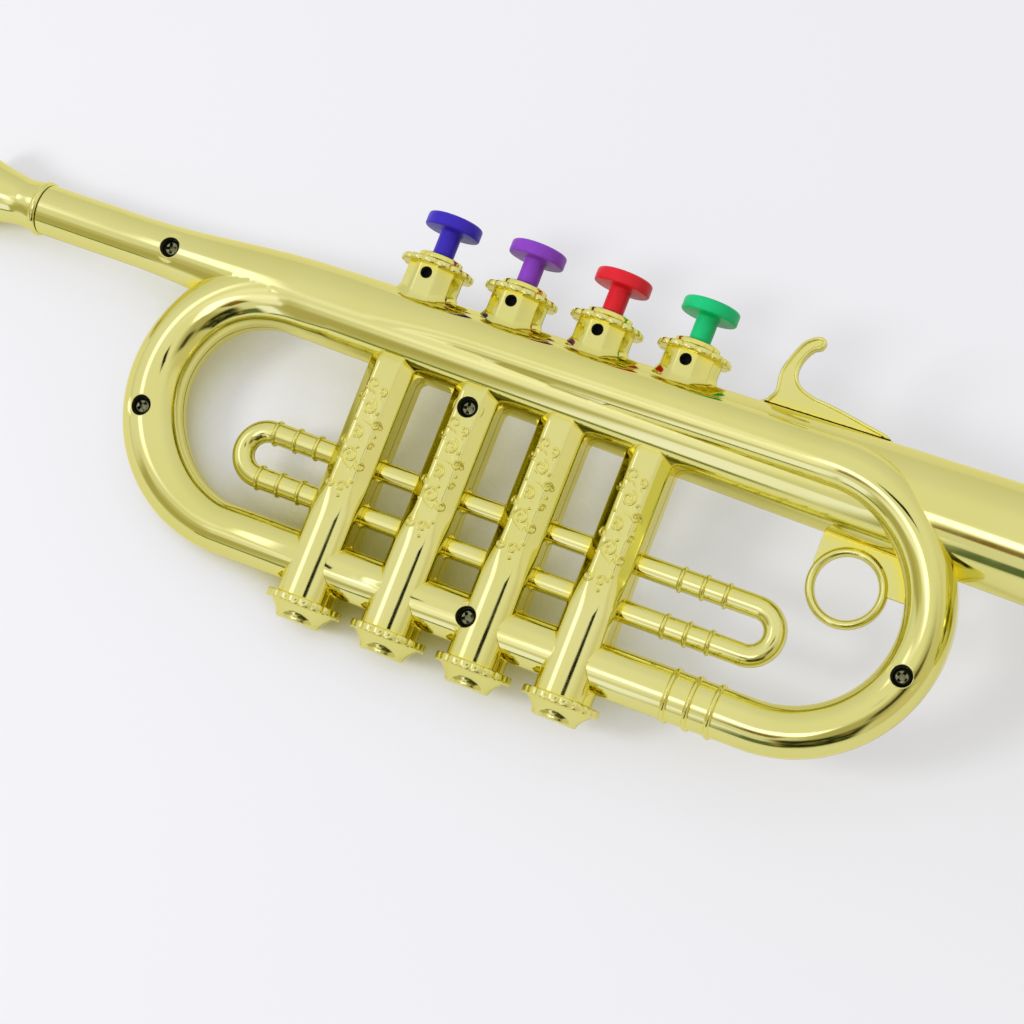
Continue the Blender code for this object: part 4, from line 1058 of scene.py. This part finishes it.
def dress(item, outer, inner, outside):
    """Plating on the faces that lie on the outside, bare plastic on the rest, near-black as painted shade in the
    hollows, wells and holes.
    """
    shape = in_triangles(outside.data)
    tree = BVHTree.FromBMesh(shape)
    shape.free()
    shape = in_triangles(item.data)
    shape.to_mesh(item.data)
    shape.free()
    coat(item, outer, inner)
    for polygon in item.data.polygons:
        found = tree.find_nearest(polygon.center, 0.01)
        deep = found[0] is None or found[3] > INNER_DISTANCE
        raised = abs(polygon.center.z) > CASING_FLANK_DEPTH and found[0] is not None
        if deep and raised and (polygon.center - found[0]).dot(found[1]) > 0:
            deep = False
        polygon.material_index = 1 if deep else 0


def build_shells(outer, inner):
    front, outside = build_body()
    front.name = "front_shell_plated"
    back = add_object("back_shell_plated", front.data.copy())
    for item, side in ((front, 1), (back, -1)):
        combine(item, "DIFFERENCE", [half_space(side)])
        dress(item, outer, inner, outside)
    bpy.data.objects.remove(outside, do_unlink=True)
    return front, back


# Turned pieces


def fitting_radius(bore_radius):
    return bore_radius * math.cos(math.pi / CAD_MAIN_SIDES) - SEAT_GAP


def build_mouthpiece():
    start = MAIN_START_X - SEAT_GAP
    collar_end = start - MOUTH_COLLAR_LENGTH
    waist = start - MOUTH_WAIST_REACH
    cup_end = start - MOUTH_CUP_REACH
    rim = start - MOUTH_LENGTH
    half = MOUTH_COLLAR_LENGTH / 2
    low = MOUTH_COLLAR_RADIUS - MOUTH_COLLAR_ROUNDING
    shank = fitting_radius(LEADPIPE_RADIUS - WALL)
    profile = [(start + SHANK_LENGTH, shank), (start, shank)]
    for angle in [math.pi * share for share in shares(12)]:
        reach = low + MOUTH_COLLAR_ROUNDING * math.sin(angle)
        profile.append((start - half + half * math.cos(angle), reach))
    for share in shares(8)[1:]:
        reach = blend(low, MOUTH_WAIST_RADIUS, smooth_step(share))
        profile.append((blend(collar_end, waist, share), reach))
    for share in shares(12)[1:]:
        reach = blend(MOUTH_WAIST_RADIUS, MOUTH_CUP_RADIUS, share**MOUTH_FLARE_POWER)
        profile.append((blend(waist, cup_end, share), reach))
    for along, inside in MOUTH_RIM_PROFILE:
        reach = MOUTH_RIM_RADIUS - MOUTH_RIM_BEAD * inside
        profile.append((rim + MOUTH_RIM_BEAD * along, reach))
    for share in (0.3, 0.45, 0.6, 0.75, 0.9, 1.0):
        edge = MOUTH_RIM_RADIUS - 3 * MOUTH_RIM_BEAD
        reach = blend(edge, MOUTH_BORE_RADIUS, share**MOUTH_CUP_POWER)
        profile.append((rim + MOUTH_CUP_DEPTH * share, reach))
    profile.append((start + SHANK_LENGTH, MOUTH_BORE_RADIUS))
    return turned(ring_x, profile, FINE_SIDES, closed=True, name="mouthpiece_turned")


def bell_radius(share):
    throat = BELL_JOINT_RADIUS * (1 + BELL_THROAT_GROWTH_SHARE * share)
    full = BELL_JOINT_RADIUS * (1 + BELL_THROAT_GROWTH_SHARE)
    return throat + (BELL_RIM_RADIUS - full) * share**BELL_FLARE_POWER


def build_bell():
    start = BELL_JOINT_X + SEAT_GAP
    end = start + BELL_LENGTH
    spigot = fitting_radius(main_radius(BELL_JOINT_X - BELL_SPIGOT_LENGTH) - WALL)
    stops = [1 - (1 - share) ** 1.5 for share in shares(BELL_STEPS)]
    profile = [(start - BELL_SPIGOT_LENGTH, spigot), (start, spigot)]
    profile += [(start + BELL_LENGTH * share, bell_radius(share)) for share in stops[:-1]]
    bead = BELL_RIM_BEAD * 1.05
    for share in shares(16):
        angle = math.radians(blend(190, -60, share))
        along = end + BELL_RIM_BEAD * 0.7 + bead * math.cos(angle)
        profile.append((along, BELL_RIM_RADIUS + bead * math.sin(angle)))
    for share in reversed(stops[1:-2]):
        lean = BELL_WALL * 0.8 * share**3
        profile.append((start + BELL_LENGTH * share + lean, bell_radius(share) - BELL_WALL))
    profile.append((start - BELL_SPIGOT_LENGTH, spigot - BELL_WALL))
    return turned(ring_x, profile, BELL_SIDES, closed=True, name="bell_turned")


def build_button(name):
    low = TURRET_ROOF_RISE
    top = HEAD_RISE + HEAD_THICKNESS
    profile = [(low - SPIGOT_LENGTH, SPIGOT_RADIUS), (low, SPIGOT_RADIUS), (low, STEM_RADIUS)]
    profile += rounding(HEAD_RISE, STEM_RADIUS, -STEM_FILLET, STEM_FILLET, 5)
    for a, b in quarter(5):
        profile.append((HEAD_RISE + HEAD_LOW_ROUNDING * b, HEAD_RADIUS - HEAD_LOW_ROUNDING * a))
    profile += rounding(top, HEAD_RADIUS, -HEAD_ROUNDING, -HEAD_ROUNDING, 8)
    profile.append((top, HEAD_RADIUS * 0.5))
    return turned(ring_y, profile, FINE_SIDES, name=name)


def build_screw(name, turn):
    """A pan head with a cross recess, with the origin under its head."""
    profile = [(-SCREW_LENGTH, SCREW_SHANK_RADIUS), (0.0, SCREW_SHANK_RADIUS), (0.0, SCREW_HEAD_RADIUS)]
    profile += rounding(SCREW_HEAD_HEIGHT, SCREW_HEAD_RADIUS, -SCREW_CROWN_DROP, -SCREW_CROWN_INSET, 9)
    screw = turned(ring_z, profile, 48, name=name)
    ends = (
        (SCREW_HEAD_HEIGHT + OVERLAP / 5, *SCREW_CROSS_TOP_SHARES),
        (SCREW_HEAD_HEIGHT - SCREW_CROSS_DEPTH, *SCREW_CROSS_FLOOR_SHARES),
    )
    cuts = []
    for angle in (turn, turn + math.pi / 2):
        run = Vector((math.cos(angle), math.sin(angle), 0)) * SCREW_CROSS_LENGTH
        side = Vector((-math.sin(angle), math.cos(angle), 0)) * SCREW_CROSS_WIDTH
        rings = []
        for z, reach, wide in ends:
            corners = ((reach, wide), (-reach, wide), (-reach, -wide), (reach, -wide))
            rings.append([FRONT * z + run * a + side * b for a, b in corners])
        cuts.append(loft(rings))
    return combine(screw, "DIFFERENCE", cuts)


def spring_ends():
    """Lowest and highest point of a spring's wire, up the valve's axis."""
    low = -CHAMBER_FLOOR_DROP + SEAT_GAP + REED_BLOCK_HEIGHT + SEAT_GAP
    return low, TURRET_ROOF_RISE - SEAT_GAP - PISTON_LENGTH - SEAT_GAP


def build_spring(name):
    """A wire coil with closed end turns, from the reed block up to the piston."""
    low, high = spring_ends()
    low += SPRING_WIRE_RADIUS
    high -= SPRING_WIRE_RADIUS
    closed = SPRING_CLOSED_PITCH * SPRING_CLOSED_TURNS
    turns = SPRING_TURNS + 2 * SPRING_CLOSED_TURNS
    pitch = (high - low - 2 * closed) / SPRING_TURNS
    radius = CHAMBER_RADIUS - SPRING_SIDE_CLEARANCE - SPRING_WIRE_RADIUS
    rings = []
    for share in shares(int(turns * SPRING_STEPS_PER_TURN)):
        turn = turns * share
        open_turns = min(max(turn - SPRING_CLOSED_TURNS, 0.0), SPRING_TURNS)
        rise = low + open_turns * pitch + (turn - open_turns) * SPRING_CLOSED_PITCH
        outward = Vector((math.sin(math.tau * turn), 0.0, math.cos(math.tau * turn)))
        across, up = outward * SPRING_WIRE_RADIUS, UP * SPRING_WIRE_RADIUS
        rings.append(hoop(outward * radius + UP * rise, across, up, WIRE_SIDES))
    return loft(rings, name=name)


# Materials


def feed(tree, node, inputs):
    """Sets each of the node's inputs to a plain value, or links it to another node's socket."""
    for key, value in inputs.items():
        if isinstance(value, bpy.types.NodeSocket):
            tree.links.new(value, node.inputs[key])
        else:
            node.inputs[key].default_value = value
    return node


def add_node(tree, kind, inputs, **settings):
    node = tree.nodes.new("ShaderNode" + kind)
    for key, value in settings.items():
        setattr(node, key, value)
    return feed(tree, node, inputs)


def node_material(name):
    material = bpy.data.materials.new(name)
    material.use_nodes = True
    tree = material.node_tree
    return material, tree, tree.nodes["Principled BSDF"]


def add_noise(tree, scale, detail, stretch=(1, 1, 1)):
    spot = add_node(tree, "TexCoord", {}).outputs["Object"]
    mapped = add_node(tree, "Mapping", {"Scale": stretch, "Vector": spot}).outputs["Vector"]
    inputs = {"Scale": scale, "Detail": detail, "Vector": mapped}
    return add_node(tree, "TexNoise", inputs).outputs["Fac"]


def add_range(tree, source, low, high, start=0.3, end=0.7, **settings):
    inputs = {"To Min": low, "To Max": high, "From Min": start, "From Max": end, "Value": source}
    return add_node(tree, "MapRange", inputs, **settings).outputs["Result"]


def add_mix(tree, share, low, high, **settings):
    """A mix of two colours, each plain or from a socket."""
    low, high = [(*colour, 1) if isinstance(colour, tuple) else colour for colour in (low, high)]
    inputs = {"Factor": share, "A": low, "B": high}
    return add_node(tree, "Mix", inputs, data_type="RGBA", **settings).outputs["Result"]


def add_bump(tree, source, strength, distance, **inputs):
    inputs = {"Strength": strength, "Distance": distance, "Height": source, **inputs}
    return add_node(tree, "Bump", inputs).outputs["Normal"]


def add_math(tree, operation, *values):
    return add_node(tree, "Math", dict(enumerate(values)), operation=operation).outputs["Value"]


def add_stops(tree, source, stops):
    """A colour ramp with the given stops, fed by the source."""
    ramp = add_node(tree, "ValToRGB", {"Fac": source})
    elements = ramp.color_ramp.elements
    while len(elements) < len(stops):
        elements.new(0.5)
    for element, (spot, colour) in zip(elements, stops):
        element.position = spot
        element.color = (*colour, 1)
    return ramp.outputs["Color"]


def plated(name, low, high, edge):
    """Mirror plating: a slow tint change, faint haze, mould waviness, softened edges, and painted bounce light: a
    saturated yellow in its creases.
    """
    material, tree, shader = node_material(name)
    colour = add_mix(tree, add_range(tree, add_noise(tree, 28, 2), 0, 1), low, high)
    # Painted bounce light: faces in creases, found by occlusion, are tinted a deep saturated yellow.
    crease = add_node(tree, "AmbientOcclusion", {"Distance": 0.0035}, samples=6, only_local=True)
    painted_crease_bounce = add_range(tree, crease.outputs["AO"], 1, 0, 0.45, 0.95)
    bevel = add_node(tree, "Bevel", {"Radius": edge}, samples=6).outputs["Normal"]
    feed(tree, shader, {
        "Base Color": add_mix(tree, painted_crease_bounce, colour, (0.88, 0.76, 0.05)),
        "Roughness": add_range(tree, add_noise(tree, 140, 4), 0.045, 0.10),
        "Normal": add_bump(tree, add_noise(tree, 90, 2, (0.25, 1, 1)), 0.25, 0.0001, Normal=bevel),
        "Metallic": 1.0,
        "Specular Tint": (1.0, 0.92, 0.42, 1),
        "Coat Weight": 0.5,
        "Coat Roughness": 0.03,
    })
    return material


def moulded(name, low, high, roughness, coating=0.0, shine=0.5):
    """Moulded plastic with a fine grain, a slow change of tone and a slight sheen."""
    material, tree, shader = node_material(name)
    grain = add_noise(tree, 900, 3)
    feed(tree, shader, {
        "Base Color": add_mix(tree, add_range(tree, add_noise(tree, 160, 3), 0, 1), low, high),
        "Roughness": add_range(tree, grain, roughness - 0.05, roughness + 0.07),
        "Normal": add_bump(tree, grain, 0.35, 0.00004),
        "Specular IOR Level": shine,
        "Coat Weight": coating,
        "Coat Roughness": 0.25,
    })
    return material


def metal(name, low, high, roughness):
    material, tree, shader = node_material(name)
    tone = add_noise(tree, 700, 3)
    feed(tree, shader, {
        "Base Color": add_mix(tree, add_range(tree, tone, 0, 1), low, high),
        "Roughness": add_range(tree, tone, roughness - 0.06, roughness + 0.1),
        "Normal": add_bump(tree, tone, 0.3, 0.00005),
        "Metallic": 1.0,
    })
    return material


# Studio


def world_card(tree, direction, under, turn, rise, half_width, half_height, soft, colour):
    """Paints a soft-edged card into the world, and returns the new colour socket.

    Its turn is in degrees round from +X, its rise in degrees above the floor.
    """
    turn, rise = math.radians(turn), math.radians(rise)
    level = Vector((-math.sin(turn), math.cos(turn), 0))
    centre = Vector((math.cos(turn) * math.cos(rise), math.sin(turn) * math.cos(rise), math.sin(rise)))

    def along(axis):
        inputs = {0: direction, 1: axis}
        return add_node(tree, "VectorMath", inputs, operation="DOT_PRODUCT").outputs["Value"]

    shown = add_math(tree, "GREATER_THAN", along(centre), 0.0)
    for axis, half in ((level, half_width), (centre.cross(level), half_height)):
        inner, outer = [math.sin(math.radians(half + ease)) for ease in (-soft, soft)]
        away = add_math(tree, "ABSOLUTE", along(axis))
        mask = add_range(tree, away, 1.0, 0.0, inner, outer, interpolation_type="SMOOTHSTEP")
        shown = add_math(tree, "MULTIPLY", shown, mask)
    return add_mix(tree, shown, under, colour)


def make_world():
    """A pale studio with a dark corner, lamp strips and the dark back of the camera."""
    world = bpy.data.worlds.new("studio")
    bpy.context.scene.world = world
    world.use_nodes = True
    tree = world.node_tree
    direction = add_node(tree, "TexCoord", {}).outputs["Generated"]
    height = add_node(tree, "SeparateXYZ", {"Vector": direction}).outputs["Z"]
    shown = add_stops(tree, height, STUDIO_STOPS)
    for card in STUDIO_CARDS:
        shown = world_card(tree, direction, shown, *card)
    inputs = {"Scale": 5.0, "Detail": 2.0, "Vector": direction}
    cloud = add_node(tree, "TexNoise", inputs).outputs["Fac"]
    dark = add_stops(tree, cloud, DARK_STOPS)
    shown = world_card(tree, direction, shown, *DARK_CARD, dark)
    shown = world_card(tree, direction, shown, *CAMERA_CARD)
    tree.links.new(shown, tree.nodes["Background"].inputs["Color"])


def floor_material():
    """Plain shading with painted shade and painted yellow bounce light near the plating, and a share of glow in a
    camera or mirror that holds the same painted shade.
    """
    material, tree, shader = node_material("pale_floor")
    inputs = {"Distance": 0.035}
    open_sky = add_node(tree, "AmbientOcclusion", inputs, samples=12).outputs["AO"]
    shade = add_mix(tree, add_noise(tree, 6, 3), (0.96, 0.96, 0.97), (1.0, 1.0, 1.0))
    # Painted shade and painted bounce light: the floor's colour darkens and turns yellow where the plating covers
    # it.
    painted_tint = add_stops(tree, open_sky, FLOOR_PAINTED_SHADE_TINT)
    feed(tree, shader, {
        "Base Color": add_mix(tree, 1.0, shade, painted_tint, blend_type="MULTIPLY"),
        "Roughness": 0.7,
        "Specular IOR Level": 0.2,
    })
    # The glow's colour is painted shade as well: dark yellow where the floor lies covered.
    glow = add_node(tree, "Emission", {"Color": add_stops(tree, open_sky, FLOOR_GLOW_PAINTED_SHADE)})
    path = add_node(tree, "LightPath", {})
    seen = 0.0
    for kind in ("Is Camera Ray", "Is Glossy Ray", "Is Transmission Ray"):
        seen = add_math(tree, "MAXIMUM", path.outputs[kind], seen)
    share = add_math(tree, "MULTIPLY", seen, FLOOR_GLOW_SHARE)
    inputs = {0: share, 1: shader.outputs["BSDF"], 2: glow.outputs["Emission"]}
    blended = add_node(tree, "MixShader", inputs).outputs["Shader"]
    tree.links.new(blended, tree.nodes["Material Output"].inputs["Surface"])
    return material


def make_floor():
    bm = bmesh.new()
    far = FLOOR_HALF_WIDTH
    corners = [(-far, -far, 0), (far, -far, 0), (far, far, 0), (-far, far, 0)]
    bm.faces.new([bm.verts.new(corner) for corner in corners])
    floor = make_object("floor", bm)
    coat(floor, floor_material())


def make_lamp():
    """A soft round lamp above the mouthpiece's side, turned to the instrument's middle."""
    target = AXES @ Vector(LAMP_AIM)
    spot = target + (AXES.to_3x3() @ Vector(LAMP_WAY)).normalized() * LAMP_DISTANCE
    data = bpy.data.lights.new("left", "AREA")
    data.shape = "DISK"
    data.size = LAMP_SIZE
    data.energy = LAMP_POWER
    lamp = add_object("left", data)
    lamp.location = spot
    lamp.rotation_euler = (spot - target).to_track_quat("Z", "Y").to_euler()
    lamp.visible_glossy = False


def make_camera():
    """The photograph's camera, fitted to it in the instrument's axes."""
    right = Vector((0.90696, 0.36251, -0.2145))
    up = Vector((-0.32638, 0.92672, 0.18618))
    back = Vector((0.26628, -0.09885, 0.95881))
    local = Matrix((right, up, back)).transposed().to_4x4()
    local.translation = Vector((0.2250, -0.1039, 0.6445))
    data = bpy.data.cameras.new("camera")
    data.sensor_width = SENSOR_WIDTH
    data.lens = FOCAL_PIXELS / IMAGE_PIXELS * SENSOR_WIDTH
    data.shift_y = -0.5 / IMAGE_PIXELS
    data.clip_start = 0.01
    camera = add_object("camera", data)
    camera.matrix_world = AXES @ local
    bpy.context.scene.camera = camera


# The pieces, set into the frame


def instrument_axes():
    mounts = {mount["name"]: mount for mount in frame["record"]["mounts"]}
    ahead = Vector(mounts["bell_rim"]["axis"]).normalized()
    up = -Vector(frame["joints"][0]["axis"]).normalized()
    front = ahead.cross(up).normalized()
    turn = Matrix((ahead, up, front)).transposed()
    piston_middle = TURRET_ROOF_RISE - SEAT_GAP - PISTON_LENGTH / 2
    origin = sum(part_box("piston_1"), Vector()) / 2 - up * piston_middle
    return Matrix.Translation(origin) @ turn.to_4x4()


def place(item, body, node, spot=(0.0, 0.0, 0.0)):
    item.data.shade_smooth()
    item.data.set_sharp_from_angle(angle=SMOOTH_ANGLE)
    item.data.transform(AXES @ Matrix.Translation(Vector(spot)))
    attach(item, body)
    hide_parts(node)


AXES = instrument_axes()
gold = plated("plated_gold", (0.74, 0.70, 0.20), (0.775, 0.735, 0.25), 0.0005)
# Bare plastic for the inner faces, its near-black olive a painted shade of the wells, holes and hollows.
bare_and_shaded = moulded("bare_shaded_moulding", (0.035, 0.036, 0.014), (0.055, 0.055, 0.022), 0.5)
# Near-black for the pistons and reed blocks: a painted shade inside the chambers, seen through the sound holes.
painted_shade_black = moulded("black_moulding", (0.003, 0.003, 0.003), (0.007, 0.007, 0.007), 0.6, shine=0.1)
# Screw steel darkened as painted shade of the wells, and warmed yellow as painted reflection of the plating.
shaded_steel = metal("screw_steel", (0.15, 0.15, 0.075), (0.25, 0.25, 0.13), 0.13)
wire_steel = metal("spring_steel", (0.42, 0.42, 0.42), (0.60, 0.60, 0.60), 0.28)
brass = metal("reed_brass", (0.72, 0.50, 0.20), (0.84, 0.64, 0.28), 0.3)

front_shell, back_shell = build_shells(gold, bare_and_shaded)
place(front_shell, "trumpet", "front_shell")
place(back_shell, "trumpet", "back_shell")
for item, node in ((build_mouthpiece(), "mouthpiece"), (build_bell(), "bell")):
    coat(item, gold)
    place(item, "trumpet", node)

for index, (x, y, surface) in enumerate(screw_places()):
    screw = build_screw(f"screw_{index + 1}", SCREW_TURNS[index])
    coat(screw, shaded_steel)
    seat = (x, y, surface - SCREW_WELL_DEPTH + SEAT_GAP)
    place(screw, "trumpet", f"shell_screw_{index + 1}", seat)

for index, (colour, low, high) in enumerate(COLOURS):
    button = build_button(f"{colour}_button")
    coat(button, moulded(f"{colour}_moulding", low, high, 0.38, coating=0.06, shine=0.2))
    spot = (VALVE_PLACES[index], 0.0, 0.0)
    place(button, f"{colour}_valve", f"button_{index + 1}", spot)

for index, (colour, _, _) in enumerate(COLOURS):
    spring = build_spring(f"{colour}_return_spring")
    coat(spring, wire_steel)
    spot = Vector((VALVE_PLACES[index], 0.0, 0.0))
    place(spring, "trumpet", f"return_spring_{index + 1}", spot)
    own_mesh(spring)

# Pistons and reed blocks in the painted-shade black.
for stem, material in (("piston", painted_shade_black), ("reed_block", painted_shade_black), ("reed", brass)):
    for number in range(1, VALVE_COUNT + 1):
        coat(frame["nodes"][f"{stem}_{number}"], material)

make_lamp()
make_world()
make_floor()
make_camera()
bpy.context.scene.view_settings.view_transform = "Standard"
